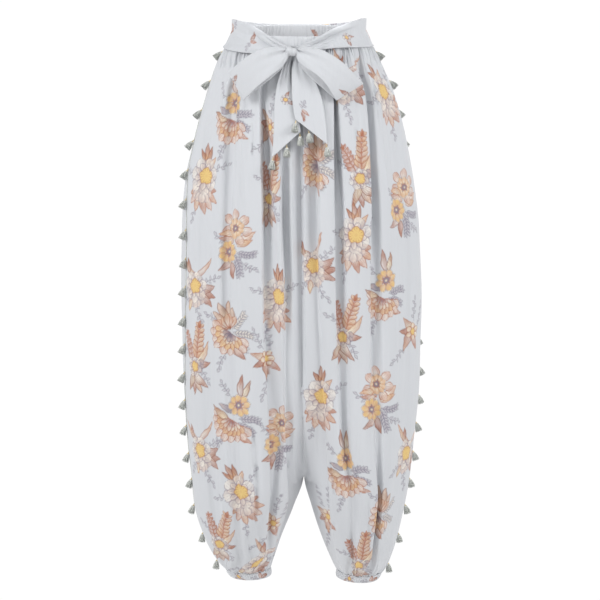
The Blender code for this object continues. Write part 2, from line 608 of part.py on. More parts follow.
def make_loop(name, loop):
    """One loop of the bow: a band that runs out behind, turns round at the end and comes back in front."""
    root, end = np.array(loop.root, float), np.array(loop.end, float)
    reach = np.linalg.norm((end - root)[[0, 2]])
    ahead = (end - root) / reach
    upright = np.array([-ahead[2], 0.0, ahead[0]]) * np.sign(ahead[0])
    level = np.array([ahead[0], 0.0, ahead[2]])
    # along the ribbon: how far out, as a share of the reach, and how far forward, as a share of the spread
    there = (0, 0.10, 0.22, 0.40, 0.60, 0.80, 0.93, 0.985, 1)
    out = np.array(there + there[-2::-1])
    forward = np.array([0, 0, 0, 0, 0, 0, 0.03, 0.12, 0.28, 0.46, 0.66, 0.86, 1.0, 0.95, 0.75, 0.50, 0.34])
    taper = np.array([LOOP_ROOT_WIDTH / loop.width, 0.55, 0.84, 0.98, 1.0])
    width = loop.width * through(np.array([0, 0.12, 0.3, 0.6, 1.0]), taper, out)
    behind = 1 - eased(forward / 0.3)
    turn = (loop.tilt * out)[:, None]
    across = upright * np.cos(turn) + level * np.sin(turn)
    grid = []
    for share in np.linspace(-0.5, 0.5, RIBBON_POINTS):
        below = loop.sag * behind * np.sin(np.pi * out) * (0.5 - share)
        slim = loop.slim * forward * np.sin(np.pi * out) * (share < 0)
        aside = share * width * (1 - slim) + loop.arch * np.sin(np.pi * out) - below
        points = root + ahead * (out * reach)[:, None] + across * aside[:, None]
        pleat = LOOP_PLEAT * np.clip(1 - out / PLEAT_REACH, 0, 1) * np.cos(4 * np.pi * share)
        points[:, 1] += pleat - LOOP_RISE * np.sin(np.pi * out) - forward * loop.spread
        grid.append(points)
    sheet_wall(name, np.array(grid), SASH_CLOTH)


def front_of_legs(x, z):
    """How far forward the leg panels reach at a place, with their folds."""
    below = np.minimum(z, WAIST_SEAM)
    front, half = column(SECTIONS, "front", below), column(SECTIONS, "right", below)
    return -front * np.sqrt(np.clip(1 - (x / half) ** 2, 0, 1)) - FOLDS_STAND


def tail_grid(tail):
    """Points of a tail from the knot to its slanted end."""
    down = np.linspace(0, 1, TAIL_ROWS)
    knots = np.linspace(0, 1, len(tail.outer))
    outer = through(knots, np.array(tail.outer, float).T, down).T
    inner = through(knots, np.array(tail.inner, float).T, down).T
    grid = []
    for share in np.linspace(0, 1, RIBBON_POINTS):
        xz = outer + (inner - outer) * share
        y = np.minimum(front_of_legs(xz[:, 0], xz[:, 1]), -LEAST_FORWARD) - tail.clear - TAIL_FORWARD * down
        y -= TAIL_RIPPLE * np.cos(3 * np.pi * share) * np.sin(np.pi * down)
        grid.append(np.stack([xz[:, 0], y, xz[:, 1]], axis=1))
    return np.array(grid)


# ---------------------------------------------------------------- tassels
def tassel_mesh(root, axis, roll=0.0):
    """(points, faces) of one tassel: a thread, a bound bead, and locks that part below it."""
    axis = axis / np.linalg.norm(axis)
    across = np.cross(axis, (0.0, 1.0, 0.0) if abs(axis[1]) < 0.9 else (1.0, 0.0, 0.0))
    across /= np.linalg.norm(across)
    third = np.cross(axis, across)

    def spot(distance, radius, turn):
        return root + axis * distance + (across * np.cos(turn) + third * np.sin(turn)) * radius

    turns = roll + np.arange(LOCKS) * 2 * np.pi / LOCKS
    points = [spot(d, r, turn) for d, r in TASSEL_RINGS for turn in turns]
    faces = [tuple(range(LOCKS))]
    for i in range(len(TASSEL_RINGS) - 1):
        for j in range(LOCKS):
            k = (j + 1) % LOCKS
            faces.append((i * LOCKS + j, i * LOCKS + k, (i + 1) * LOCKS + k, (i + 1) * LOCKS + j))
    neck = (len(TASSEL_RINGS) - 1) * LOCKS
    middle = len(points)
    points.append(spot(TASSEL_RINGS[-1][0], 0, 0))
    sector = 2 * np.pi / LOCKS
    for j in range(LOCKS):
        k = (j + 1) % LOCKS
        mid_turn = turns[j] + sector / 2
        half = sector / 2 * LOCK_SHARE
        tip = len(points)
        points.append(spot(TASSEL_LENGTH, TASSEL_RADIUS, mid_turn - half))
        points.append(spot(TASSEL_LENGTH, TASSEL_RADIUS, mid_turn + half))
        points.append(spot(TASSEL_LENGTH, TASSEL_RADIUS * LOCK_INSIDE, mid_turn))
        a, b = neck + j, neck + k
        faces += [(a, b, tip + 1, tip), (b, middle, tip + 2, tip + 1)]
        faces += [(middle, a, tip, tip + 2), (tip, tip + 1, tip + 2)]
    return np.array(points), faces


def seam_line(side, z):
    """(points, outward, downward) along a side seam at heights z."""
    z = np.asarray(z, float)
    outline = Outline(side, z)
    spots, normals = (found[:, 0] for found in outline.along(outline.seam))
    points = hung(side, np.concatenate([spots, z[:, None]], axis=1))
    down = np.gradient(points, axis=0)
    down /= np.linalg.norm(down, axis=1, keepdims=True)
    outward = np.concatenate([normals, np.zeros((len(z), 1))], axis=1)
    return points, outward, down


def make_trim(side):
    """The tape in a side seam, swept along it, and its tassels joined to it."""
    sign = -1 if side == "left" else 1
    z = np.array(PANEL_ROWS, float)
    z[0] -= 3
    points, outward, down = seam_line(side, z)
    across = np.cross(outward, down)
    across /= np.linalg.norm(across, axis=1, keepdims=True)
    corners = []
    for a, o in ((-1, -1), (1, -1), (1, 1), (-1, 1)):
        corners.append(points + across * a * TAPE_WIDTH / 2 + outward * (o * TAPE_DEPTH / 2))
    count = len(z)
    tape_points = np.concatenate(corners)
    faces = []
    for c in range(4):
        d = (c + 1) % 4
        for i in range(count - 1):
            faces.append((c * count + i, d * count + i, d * count + i + 1, c * count + i + 1))
    faces += [tuple(c * count for c in range(4)), tuple(c * count + count - 1 for c in range(4))]
    tape = add_object("trim_" + side, tape_points, faces, TASSEL_COLOUR)

    all_points, all_faces = [], []
    for i in range(SEAM_TASSELS):
        at = np.interp(-(FIRST_TASSEL - TASSEL_STEP * i), -z, np.arange(count))
        line, out, way = (rows[int(at)] + (rows[int(at) + 1] - rows[int(at)]) * (at % 1)
                          for rows in (points, outward, down))
        outwards = out - way * np.dot(out, way)
        outwards /= np.linalg.norm(outwards)
        hanging = outwards * outwards[2] - np.array([0.0, 0.0, 1.0])
        hanging /= np.linalg.norm(hanging)
        slant = np.degrees(np.arcsin(-outwards[2]))
        lean = np.radians(max(TASSEL_LEAN, LEAST_HANG + slant) + tassel_swing(i))
        axis = hanging * np.cos(lean) + outwards * np.sin(lean)
        root = line + outwards * (TAPE_DEPTH / 2 - ROOT_IN_TAPE)
        points_i, faces_i = tassel_mesh(root, axis, roll=0.9 * i + sign)
        start = sum(len(p) for p in all_points)
        all_points.append(points_i)
        all_faces += [tuple(v + start for v in f) for f in faces_i]
    tassels = add_object("tassels_" + side, np.concatenate(all_points), all_faces, TASSEL_COLOUR)
    tassels.hide_render = True
    tassels.display_type = "WIRE"
    union = tape.modifiers.new("tassels", "BOOLEAN")
    union.operation = "UNION"
    union.object = tassels
    union.solver = "EXACT"


def tassel_swing(i):
    """How many degrees further out a tassel swings: least under the sash, then unevenly."""
    return 2 + 2 * np.sin(2.4 * i + 0.7) - (8 if i == 0 else 0)


def make_tail_tassels(name, tail, grid):
    """Three tassels under the slanted end of a tail."""
    edge = grid[:, -1]
    for number, (share, right, back) in enumerate(tail.tassels, 1):
        at = share * (len(edge) - 1)
        spot = np.array([np.interp(at, np.arange(len(edge)), edge[:, k]) for k in range(3)])
        root = spot - np.array([0, 0, TAIL_TASSEL_DROP])
        points, faces = tassel_mesh(root, np.array([right, back, -1.0]), roll=number)
        add_object(f"{name}_tassel_{number}", points, faces, TASSEL_COLOUR)


# ---------------------------------------------------------------- build
def build():
    for old in list(bpy.data.objects):
        bpy.data.objects.remove(old)
    for panel in FOLDS:
        outer, inner = leg_panel(panel)
        wall(panel, outer, inner)
    make_waistband()
    for side in ("left", "right"):
        make_cuff(side)
        make_trim(side)
    make_sash()
    make_knot()
    for name, loop in LOOPS.items():
        make_loop(name, loop)
    for name, tail in TAILS.items():
        grid = tail_grid(tail)
        sheet_wall(name, grid, SASH_CLOTH)
        make_tail_tassels(name, tail, grid)


build()
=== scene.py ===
"""Looks of the harem trousers: fine printed cloth with folds and gathers, a tied sash, tassels and thread.

Sizes are in millimetres and become metres only where a mesh is made. The frame is the part's own: +Z is up,
-Y is the front, +X is the right of someone who looks at the front, and left and right in names are theirs.
The outline, the folds and the sash follow those of the solids, so that each piece of cloth lies on its solid.
The outline's left side is the more exact one here: up to 6 mm further in at the thigh, 5 mm out at the shin.
"""

from collections import namedtuple

import bpy
import numpy as np
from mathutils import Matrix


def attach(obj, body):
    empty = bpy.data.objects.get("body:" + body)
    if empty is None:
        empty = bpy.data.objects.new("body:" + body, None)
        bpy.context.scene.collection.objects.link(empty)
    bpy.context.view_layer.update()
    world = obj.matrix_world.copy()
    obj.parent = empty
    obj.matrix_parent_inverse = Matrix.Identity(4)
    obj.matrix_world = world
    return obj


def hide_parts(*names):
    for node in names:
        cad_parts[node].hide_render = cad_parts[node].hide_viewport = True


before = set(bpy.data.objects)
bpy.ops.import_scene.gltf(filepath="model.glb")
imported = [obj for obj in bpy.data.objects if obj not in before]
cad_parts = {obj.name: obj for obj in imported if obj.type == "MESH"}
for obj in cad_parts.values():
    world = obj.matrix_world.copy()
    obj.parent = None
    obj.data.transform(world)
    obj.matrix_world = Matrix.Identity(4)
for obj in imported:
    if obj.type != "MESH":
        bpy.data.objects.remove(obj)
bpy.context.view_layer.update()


def rows_of(kind, *table):
    """A table whose rows have the named columns of their kind."""
    return tuple(kind(*row) for row in table)


MM = 0.001
GRAIN_ACROSS, GRAIN_DOWN = 1.28, 1.52  # between two points of printed cloth
PLAIN = 3  # as many of those to a face where nothing is printed
INKED = 0.012  # a point that is at least so far from the ground colour is printed
FINE_AT_WAIST, FINE_AT_CUFF = 34.0, 26.0  # how far from its seams a panel has small faces, for its gathers

# ---------------------------------------------------------------- the solids' driving sizes
WAIST_SEAM = -21.0
CROTCH = -790.0
CUFF_SEAM = -966.0
HEM = -979.5
CASING = 2.4
SASH_CLOTH = 1.8
SEAM_GAP = 0.3
TAPE_WIDTH = 1.2
TAPE_DEPTH = 3.2
CROTCH_ROUND = 3.2
SEAM_PULL = 0.45
PARTING_TOP, PARTING_END = -350.0, -880.0

# left, right: the sides; centre: the centre seams; gap: from there to each inseam; front, back: depths; turn:
# how far towards the front a side seam lies from the outermost point, along the cloth.
Section = namedtuple("Section", "z left right centre gap front back turn_left turn_right")
SECTIONS = rows_of(
    Section,
    (-21, -129, 126, -2, 0, 90, 94, 0, 0),
    (-44, -142, 138, -2, 0, 99, 106, 0, 0),
    (-78, -155, 154, -2, 0, 105, 117, 0, -8),
    (-113, -166, 167, -1, 0, 110, 125, 2, -18),
    (-183, -186, 186, 0, 0, 117, 133, 13, -36),
    (-253, -202, 200, 1, 0, 122, 136, 29, -53),
    (-342, -209, 211, 2, 0, 126, 137, 41, -62),
    (-468, -211, 217, 3, 0, 128, 135, 43, -52),
    (-615, -209, 215, 5, 0, 126, 131, 32, -18),
    (-726, -203, 206, 6, 0, 120, 123, 13, -3),
    (-790, -197, 199, 7, 0, 113, 115, 4, 0),
    (-844, -193, 191, 5, 15, 101, 102, 0, 0),
    (-903, -176, 178, 3, 36, 81, 81, 0, 0),
    (-947, -153, 162, 5, 53, 56, 56, 0, 0),
    (-966, -137, 151, 7, 61, 38, 38, 0, 0),
)
CUFF_DROP = {"left": 2.0, "right": 9.0}
SLANT_REACH = 90.0
HALF_STEPS = 360

# ---------------------------------------------------------------- folds of the legs
# A fold is a trough between two crests, given at these heights. places: of its middle from the centre line;
# depths: of the trough; widths: of the trough; inner, outer: how far its walls towards the centre and towards
# the side run sideways. They follow the folds of the solids, with thinner and deeper troughs.
STATIONS = (-21, -100, -200, -300, -430, -560, -690, -820, -910, -966)
SOFT_WALL = (7, 9, 9, 9, 9, 9, 9, 9, 8, 7)  # of the shallow fold near the side
TROUGH, LONG_WALL = (8, 12, 15, 16, 16, 16, 15, 14, 12, 10), (5, 9, 12, 12, 12, 12, 11, 10, 8, 6)
Fold = namedtuple("Fold", "places depths widths inner outer")
FOLDS = {
    "front_left": (
        Fold((43, 60, 58, 58, 56, 54, 50, 56, 60, 64), (0, 9, 25, 20, 11, 8, 9, 14, 7, 3),
             (12, 9, 14, 13, 18, 20, 18, 10, 8, 8), (6, 16, 20, 18, 17, 17, 15, 8, 6, 6),
             (2, 2, 2, 2, 4, 4, 3, 2, 3, 4)),
        Fold((84, 112, 119, 124, 130, 127, 124, 118, 110, 100), (0, 9, 9, 7, 8, 5, 5, 6, 5, 3),
             (10, 13, 15, 15, 12, 15, 15, 15, 13, 11), (5, 7, 9, 9, 5, 9, 9, 9, 8, 6),
             (5, 7, 9, 9, 9, 9, 9, 9, 8, 6)),
        Fold((106, 142, 155, 164, 167, 167, 164, 156, 140, 122), (0, 4, 4, 3, 3, 3, 4, 4, 4, 3),
             (12, 16, 18, 18, 18, 18, 18, 17, 15, 12), SOFT_WALL,
             SOFT_WALL),
    ),
    "front_right": (
        Fold((48, 60, 62, 65, 66, 70, 73, 88, 92, 94), (0, 24, 27, 15, 13, 9, 14, 6, 5, 4),
             (8, 7, 11, 15, 15, 16, 12, 14, 12, 10), (2, 2, 2, 2, 3, 5, 6, 9, 7, 5),
             (3, 2, 3, 5, 8, 12, 10, 9, 7, 5)),
        Fold((84, 115, 122, 126, 127, 128, 130, 133, 130, 120), (0, 16, 21, 20, 10, 8, 7, 15, 13, 5),
             (8, 8, 8, 11, 14, 14, 11, 6, 6, 8), (3, 4, 5, 6, 7, 7, 7, 3, 5, 5),
             (4, 6, 9, 9, 12, 12, 10, 4, 6, 5)),
        Fold((106, 149, 162, 172, 178, 178, 176, 167, 152, 137), (0, 5, 4, 4, 4, 4, 4, 4, 4, 3),
             (14, 18, 20, 20, 20, 20, 20, 18, 15, 12), SOFT_WALL,
             SOFT_WALL),
    ),
    "back_left": (
        Fold((46, 58, 62, 66, 68, 70, 73, 77, 80, 84), (0, 15, 19, 17, 12, 10, 10, 12, 8, 5),
             TROUGH, (2, 2, 2, 3, 4, 5, 5, 4, 5, 5),
             LONG_WALL),
        Fold((82, 104, 110, 114, 117, 118, 119, 118, 112, 106), (0, 12, 15, 14, 11, 8, 8, 10, 7, 4),
             (8, 12, 16, 17, 17, 17, 16, 15, 13, 10), (5, 9, 12, 13, 13, 13, 12, 11, 9, 6),
             (3, 3, 2, 2, 3, 4, 4, 3, 4, 5)),
        Fold((106, 142, 154, 163, 166, 166, 164, 155, 140, 124), (0, 5, 5, 5, 6, 6, 5, 5, 4, 3),
             (14, 18, 20, 20, 20, 20, 20, 18, 15, 12), SOFT_WALL,
             SOFT_WALL),
    ),
    "back_right": (
        Fold((52, 66, 70, 74, 76, 78, 81, 84, 87, 90), (0, 13, 17, 16, 13, 11, 10, 11, 8, 5),
             TROUGH, LONG_WALL,
             (3, 3, 2, 3, 4, 4, 4, 4, 4, 5)),
        Fold((84, 104, 110, 114, 118, 120, 122, 123, 119, 114), (0, 10, 12, 11, 10, 9, 8, 8, 6, 4),
             (8, 12, 15, 16, 16, 16, 16, 15, 13, 10), (3, 4, 4, 5, 5, 5, 5, 5, 5, 5),
             (5, 9, 11, 12, 12, 12, 12, 11, 9, 6)),
        Fold((106, 136, 144, 150, 156, 158, 160, 157, 148, 136), (0, 4, 4, 3, 4, 4, 4, 5, 4, 3),
             (13, 15, 16, 16, 16, 16, 16, 15, 13, 11), (7, 8, 9, 9, 9, 9, 9, 9, 8, 6),
             (7, 8, 9, 9, 9, 9, 9, 9, 8, 6)),
    ),
}
# Each side of the centre seam lies in a trough. edges: where its outer wall stands; depths: of the trough
# there; ridge: how far out a low ridge lies, of the way to that wall. SEAM_DEPTHS: of the seam itself.
Centre = namedtuple("Centre", "edges depths ridge")
CENTRES = {
    "front_left": Centre((20, 29, 34, 35, 31, 32, 33, 30, 48, 62), (0, 10, 15, 26, 15, 4, 7, 10, 4, 0), 0.52),
    "front_right": Centre((16, 25, 33, 31, 31, 36, 41, 48, 62, 74), (0, 11, 17, 19, 8, 7, 8, 8, 4, 0), 0.2),
    "back_left": Centre((18, 24, 26, 28, 29, 30, 34, 40, 52, 64), (0, 7, 9, 10, 9, 8, 7, 5, 3, 0), 0.45),
    "back_right": Centre((22, 30, 34, 38, 40, 42, 45, 50, 61, 74), (0, 8, 10, 11, 10, 9, 8, 6, 3, 0), 0.3),
}
SEAM_DEPTHS = {"front": (0, 6, 16, 17, 13, 15, 9, 0, 0, 0), "back": (0, 4, 5, 5, 5, 4, 4, 0, 0, 0)}
CREST_SHARE = 0.3
CENTRE_WALL = 2.2
BULGE, BULGE_DEPTH = 1.5, 8.0  # between two troughs the cloth stands so much higher, beside one so deep
NEAREST = 0.9
TO_SIDE_SEAM = (0.36, 0.7)  # lines of points beyond the last fold, as shares of the way to the side seam
EVEN_TOP, EVEN_HEM = 60.0, 50.0
MIDWAY = -250.0  # where the lines of points are spaced out evenly over the cloth

# Smaller creases that run down or across a panel. x, z: where the crease starts and ends, from the centre
# line; depth: below the cloth round it (a ridge where it is negative); width: from its middle to where it has
# died away; edge: which side of it is a sharp edge, towards the centre (-1), the side (1) or neither (0).
Crease = namedtuple("Crease", "x z x_end z_end depth width edge")
CREASES = {
    "front_left": rows_of(
        Crease,
        (72, -30, 76, -76, 4.0, 4, 0),
        (82, -34, 92, -120, 3.0, 5, 0),
        (98, -60, 104, -180, 2.2, 6, 1),
        (104, -140, 98, -330, 1.8, 6, 0),
        (112, -30, 126, -90, 3.0, 5, 0),
        (92, -130, 88, -300, 1.4, 6, 0),
        (78, -110, 82, -230, 2.4, 4, 1),
        (98, -300, 100, -640, 1.2, 9, 0),
        (140, -460, 148, -740, 1.2, 11, 0),
        (90, -640, 86, -900, 5.5, 12, 1),
        (36, -640, 30, -860, -3.0, 6, 0),
        (26, -720, 22, -850, 4.0, 6, -1),
        (76, -820, 76, -962, 2.6, 5, 0),
        (100, -860, 92, -962, 2.4, 6, 1),
        (126, -850, 112, -962, 2.2, 6, 0),
        (180, -520, 172, -790, 1.0, 10, 0),
    ),
    "front_right": rows_of(
        Crease,
        (44, -30, 50, -80, 3.0, 4, 0),
        (54, -30, 60, -90, 3.5, 4, -1),
        (78, -32, 84, -84, 4.5, 4, 1),
        (90, -90, 98, -230, 3.2, 8, -1),
        (66, -32, 72, -90, 3.0, 3, 0),
        (118, -60, 138, -180, 5.0, 6, -1),
        (96, -32, 116, -84, 3.0, 4, 0),
        (36, -150, 40, -300, 2.0, 4, 0),
        (150, -110, 166, -330, 1.4, 8, 0),
        (92, -300, 98, -460, 1.2, 7, 0),
        (120, -430, 118, -740, 3.5, 6, 0),
        (44, -690, 60, -900, 3.0, 8, -1),
        (96, -720, 100, -880, 3.0, 8, 1),
        (116, -780, 116, -930, 2.5, 5, 0),
        (84, -860, 90, -962, 3.0, 5, -1),
        (104, -850, 104, -962, -2.0, 5, 0),
        (150, -800, 140, -960, 2.4, 8, 0),
        (186, -560, 178, -800, 1.0, 9, 0),
    ),
    "back_left": rows_of(
        Crease,
        (36, -60, 44, -360, 1.8, 6, 0),
        (84, -40, 92, -310, 2.4, 6, 1),
        (72, -32, 78, -100, 3.0, 4, 0),
        (126, -90, 138, -420, 1.8, 8, 0),
        (96, -420, 94, -780, 1.6, 9, -1),
        (54, -560, 60, -860, 2.2, 7, 0),
        (66, -800, 74, -960, 2.6, 7, 0),
        (128, -760, 112, -960, 2.4, 7, 1),
        (96, -860, 94, -960, 2.2, 5, 0),
        (150, -480, 150, -760, 1.2, 10, 0),
    ),
    "back_right": rows_of(
        Crease,
        (44, -45, 52, -330, 2.2, 6, -1),
        (92, -40, 100, -260, 2.0, 5, 0),
        (62, -32, 66, -96, 3.0, 4, 0),
        (112, -60, 128, -380, 2.0, 7, 0),
        (98, -400, 100, -800, 1.5, 9, 1),
        (62, -600, 70, -900, 2.0, 7, 0),
        (100, -820, 104, -960, 2.6, 6, -1),
        (76, -870, 84, -960, 2.2, 5, 0),
        (142, -740, 124, -960, 2.4, 8, 0),
        (132, -500, 136, -760, 1.2, 11, 0),
    ),
}

SHARP_EDGE = 1.3  # how wide the sharp side of a crease is
CREASE_SWAY, SWAY_LENGTH = 2.0, 47.0
CREASE_BEGINS, CREASE_ENDS = 0.3, 0.35  # the shares of its length over which a crease begins and ends

# Gathers: how many to a panel, how deep at the seam, how far from it they reach, how narrow their valleys.
Gathers = namedtuple("Gathers", "count depth reach narrow")
WAIST_GATHERS = rows_of(Gathers, (30, 5.6, 27, 0.5), (15, 5.2, 62, 0.3), (7, 2.6, 170, 0.26))
CUFF_GATHERS = rows_of(Gathers, (21, 3.4, 9, 0.5), (10, 4.2, 40, 0.32))
BAND_GATHERS, CUFF_BAND_GATHERS = 104, 66
CUFF_GROOVE = 1.6  # how deep, and how far up, a leg's cloth is drawn in at the seam of its cuff
BAND_WAVE, CUFF_WAVE = 1.3, 0.75
DRAPE = 0.7  # the height of the slow waves all over a leg's cloth

# ---------------------------------------------------------------- waistband, cuffs and sash
BAND_TOP_SIDE, BAND_TOP_DIP = 8.0, 11.0
BAND_TOP_HALF, BAND_TOP_FRONT, BAND_TOP_BACK = 114.0, 80.0, 86.0
BAND_INSET = 1.0
CuffRow = namedtuple("CuffRow", "share shrink shift")  # share: of the way down; shift: towards the centre
CUFF_ROWS = rows_of(CuffRow, (0.0, 0.0, 0.0), (0.5, 0.6, 1.5), (1.0, 2.4, 4.0))
CASING_ROUND = 0.8  # how far the faces of a casing bulge
CASING_INSET = 0.4
POINTS_TO_A_GATHER = 7
BAND_STEPS, CUFF_STEPS = 15, 11  # rows of points from edge to edge

# The sash round the waist. angle: in degrees from the front towards the right; top, bottom: its edges; off:
# how far off the waist its middle lies; crease: the height of the waves along it.
SashPlace = namedtuple("SashPlace", "angle top bottom off crease")
SASH_PLACES = rows_of(
    SashPlace,
    (-7, -20, -33, 17.0, 0.3),
    (-15, -12, -34, 10.5, 1.2),
    (-24, -3, -33, 6.5, 2.0),
    (-35, 9, -31, 3.8, 1.6),
    (-48, 19, -29, 2.8, 0.8),
    (-62, 24, -26, 2.2, 0.3),
    (-76, 26, -23, 2.0, 0.0),
    (-90, 26, -20, 2.0, 0.0),
    (-115, 24, -20, 2.0, 0.0),
    (-145, 20, -20, 2.0, 0.0),
    (-180, 17, -20, 2.0, 0.0),
    (-215, 20, -20, 2.0, 0.0),
    (-245, 25, -20, 2.0, 0.0),
    (-270, 28, -19, 2.0, 0.0),
    (-288, 28, -20, 2.0, 0.0),
    (-305, 24, -21, 2.2, 0.5),
    (-320, 17, -21, 2.8, 1.4),
    (-332, 9, -22, 3.8, 2.2),
    (-342, -1, -24, 6.2, 2.0),
    (-350, -9, -28, 9.5, 1.2),
    (-362, -20, -32, 17.0, 0.3),
)
SASH_OVER_GATHERS = 3.6  # how far the sash stands off where it lies on the waist's gathers
OVER_FROM, OVER_WITHIN = 6.0, 9.0  # it begins to so far above the waist seam, and does within so much more
SASH_POINTS, SASH_ROWS = 400, 31
SASH_SHARP_EDGE = 0.045  # of the sash's width

# Creases of the sash. angle, row: where one starts and ends (row 0 at the upper edge, 1 at the lower one);
# depth: of the crease (a ridge where it is negative); width: from its middle to where it has died away, in
# rows; edge: which side of it is sharp, the upper (-1), the lower (1) or neither (0).
SashCrease = namedtuple("SashCrease", "angle row angle_end row_end depth width edge")
SASH_CREASES = rows_of(
    SashCrease,
    (-353, 0.40, -298, 0.22, 3.0, 0.24, -1),
    (-354, 0.72, -318, 0.58, 2.2, 0.18, -1),
    (-352, 0.90, -330, 0.86, 1.6, 0.12, -1),
    (-350, 0.14, -322, 0.06, -1.2, 0.12, 0),
    (-268, 0.40, -300, 0.66, 1.2, 0.22, 0),
    (-10, 0.52, -46, 0.26, 3.4, 0.26, -1),
    (-12, 0.76, -40, 0.60, 2.2, 0.16, -1),
    (-11, 0.26, -34, 0.10, 1.8, 0.12, -1),
    (-38, 0.66, -74, 0.52, 1.4, 0.24, 1),
    (-48, 0.26, -84, 0.52, 0.9, 0.24, 0),
    (-100, 0.36, -150, 0.58, 0.8, 0.20, 1),
    (-165, 0.62, -215, 0.40, 0.9, 0.20, 0),
    (-225, 0.30, -262, 0.52, 0.8, 0.22, -1),
)
KNOT_CENTRE, KNOT_SIZE = (-14.0, -116.0, -27.4), (10.4, 10.6, 7.6)
KNOT_END = 84.0  # the latitude, in degrees, at which the knot's rings end
KNOT_RINGS, KNOT_SIDES = 29, 48

# root, end: the middle of its cloth at the knot, and where it turns over; spread: how far in front of its
# first half the second lies; sag: how far the first half hangs lower; tilt: how far its cloth turns on the
# way out, in radians; arch: how far its middle rises; slim: by what share the second half is narrower at its
# lower edge.
Loop = namedtuple("Loop", "root end width spread sag tilt arch slim")
LOOPS = {
    "bow_loop_left": Loop((-20.5, -113.5, -26), (-107, -107, -85), 52, 12, 2.5, -0.07, 5.0, 0.05),
    "bow_loop_right": Loop((-5.0, -115, -25.5), (83, -114, -94), 53, 12, 3.0, 0.35, 6.0, 0.3),
}
LOOP_POINTS, LOOP_ROWS = 141, 35
LOOP_ROOT_WIDTH = 11.0
LOOP_RISE = 7.0
LOOP_PLEAT, PLEAT_REACH = 2.4, 0.42

# Even steps along a loop's ribbon, from its root to its end and back. OUT_STEPS: how far out each lies, as a
# share of the loop's reach, up to its end; FORWARD_STEPS: how far in front of the first half, of its spread.
OUT_STEPS = (0, 0.10, 0.22, 0.40, 0.60, 0.80, 0.93, 0.985, 1)
FORWARD_STEPS = (0, 0, 0, 0, 0, 0, 0.03, 0.12, 0.28, 0.46, 0.66, 0.86, 1.0, 0.95, 0.75, 0.50, 0.34)
LoopWidth = namedtuple("LoopWidth", "out share")
LOOP_WIDTHS = rows_of(LoopWidth, (0.12, 0.55), (0.3, 0.84), (0.6, 0.98), (1.0, 1.0))

# outer, inner: (x, z) of its edges from the knot down; clear: how far off the legs it hangs; tassels: for
# each, the share of the way along the slanted end from its outer corner, and its lean to the right and back.
Tail = namedtuple("Tail", "outer inner clear tassels")
TAILS = {
    "sash_tail_left": Tail(
        ((-22, -32), (-32, -60), (-39, -85), (-43, -117), (-44, -160), (-47, -203)),
        ((-13, -32), (-17, -60), (-15, -85), (-8, -110), (-2, -136), (1, -160)),
        2.8,
        ((0.03, -0.12, -0.25), (0.52, 0.0, -0.25), (0.97, 0.1, 0.08)),
    ),
    "sash_tail_right": Tail(
        ((-1, -32), (15, -58), (31, -88), (40, -122), (44, -152), (46, -181)),
        ((-8, -32), (-13.5, -58), (-14, -85), (-13, -105), (-11, -124), (-8, -139)),
        6.2,
        ((0.98, -0.1, -0.42), (0.58, 0.08, -0.38), (0.03, 0.12, -0.2)),
    ),
}
TAIL_POINTS, TAIL_ROWS = 111, 37
LEAST_CLEAR = 2.8
TAIL_FORWARD = 2.5
TAIL_RIPPLE = 0.8
FOLDS_STAND = 5.0
LEAST_FORWARD = 103.0

# ---------------------------------------------------------------- tassels
TASSEL_STEP = 51.3
FIRST_TASSEL = -27.0
CORD_TOP, CORD_POINTS = -24.0, 320
SEAM_TASSELS = 19
TASSEL_LENGTH, TASSEL_RADIUS = 21.5, 6.9
ROOT_IN_TAPE = 1.0
TASSEL_LEAN, LEAST_HANG = 23.0, 6.0
TAIL_TASSEL_DROP = 1.3
STRANDS = 60  # to a tassel
STRAND_RADIUS = 0.38
STRANDS_START = 5.2
NECK_RADIUS = 1.5
SKIRT_SPREAD = TASSEL_RADIUS - 1.9  # from the neck to the ends of the outermost strands
STRAND_STEPS = (0.0, 0.2, 0.55, 1.0)  # places along a strand, and how thick it is there
STRAND_SHAPE = (1, 1.15, 1.15, 0.8)
STRAND_SAG = 0.5  # how far a strand's end hangs lower than a straight one's
STRAND_SIDES, THREAD_SIDES, CORD_SIDES, HEAD_SIDES = 4, 5, 6, 12  # of each round cross section
SWING, UNDER_SASH = 2.0, 8.0  # degrees by which the tassels differ, and by which the first lies closer
TASSEL_SEEDS = {"left": 5, "right": 6}
CORD_LAY, CORD_PLY = 9.0, 0.5  # of the twisted cord over a side seam: the length of a turn, a ply's radius
THREAD_LENGTH, THREAD_RADIUS, BINDING_RADIUS = 5.4, 0.42, 0.36
PLY_OFF, PLY_TWIST = 0.35, 1.1  # of the thread's two plies: from their middle, and radians to a mm
GOLDEN_TURN = 0.618  # from one strand to the next
Ring = namedtuple("Ring", "down radius")
HEAD = rows_of(Ring, (4.4, 0.7), (5.0, 1.7), (5.8, 2.5), (6.8, 3.3), (8.0, 3.6))
BINDINGS = rows_of(Ring, (4.3, 1.0), (4.8, 1.32), (5.3, 1.64))

# ---------------------------------------------------------------- the print
SOFT_EDGE = 0.9  # over which a printed edge fades
LINE = 0.62  # half the width of a drawn line
RUST, DEEP_RUST, TERRACOTTA = (0.64, 0.40, 0.30), (0.50, 0.29, 0.21), (0.77, 0.63, 0.57)
OCHRE, YELLOW, ORANGE = (0.82, 0.66, 0.44), (0.86, 0.75, 0.49), (0.79, 0.62, 0.49)
CREAM, BUFF, BLUSH = (0.89, 0.86, 0.82), (0.88, 0.83, 0.73), (0.81, 0.73, 0.69)
MAUVE, PALE_MAUVE, SLATE = (0.55, 0.49, 0.53), (0.76, 0.74, 0.76), (0.43, 0.41, 0.47)
GROUND = (0.785, 0.791, 0.804)

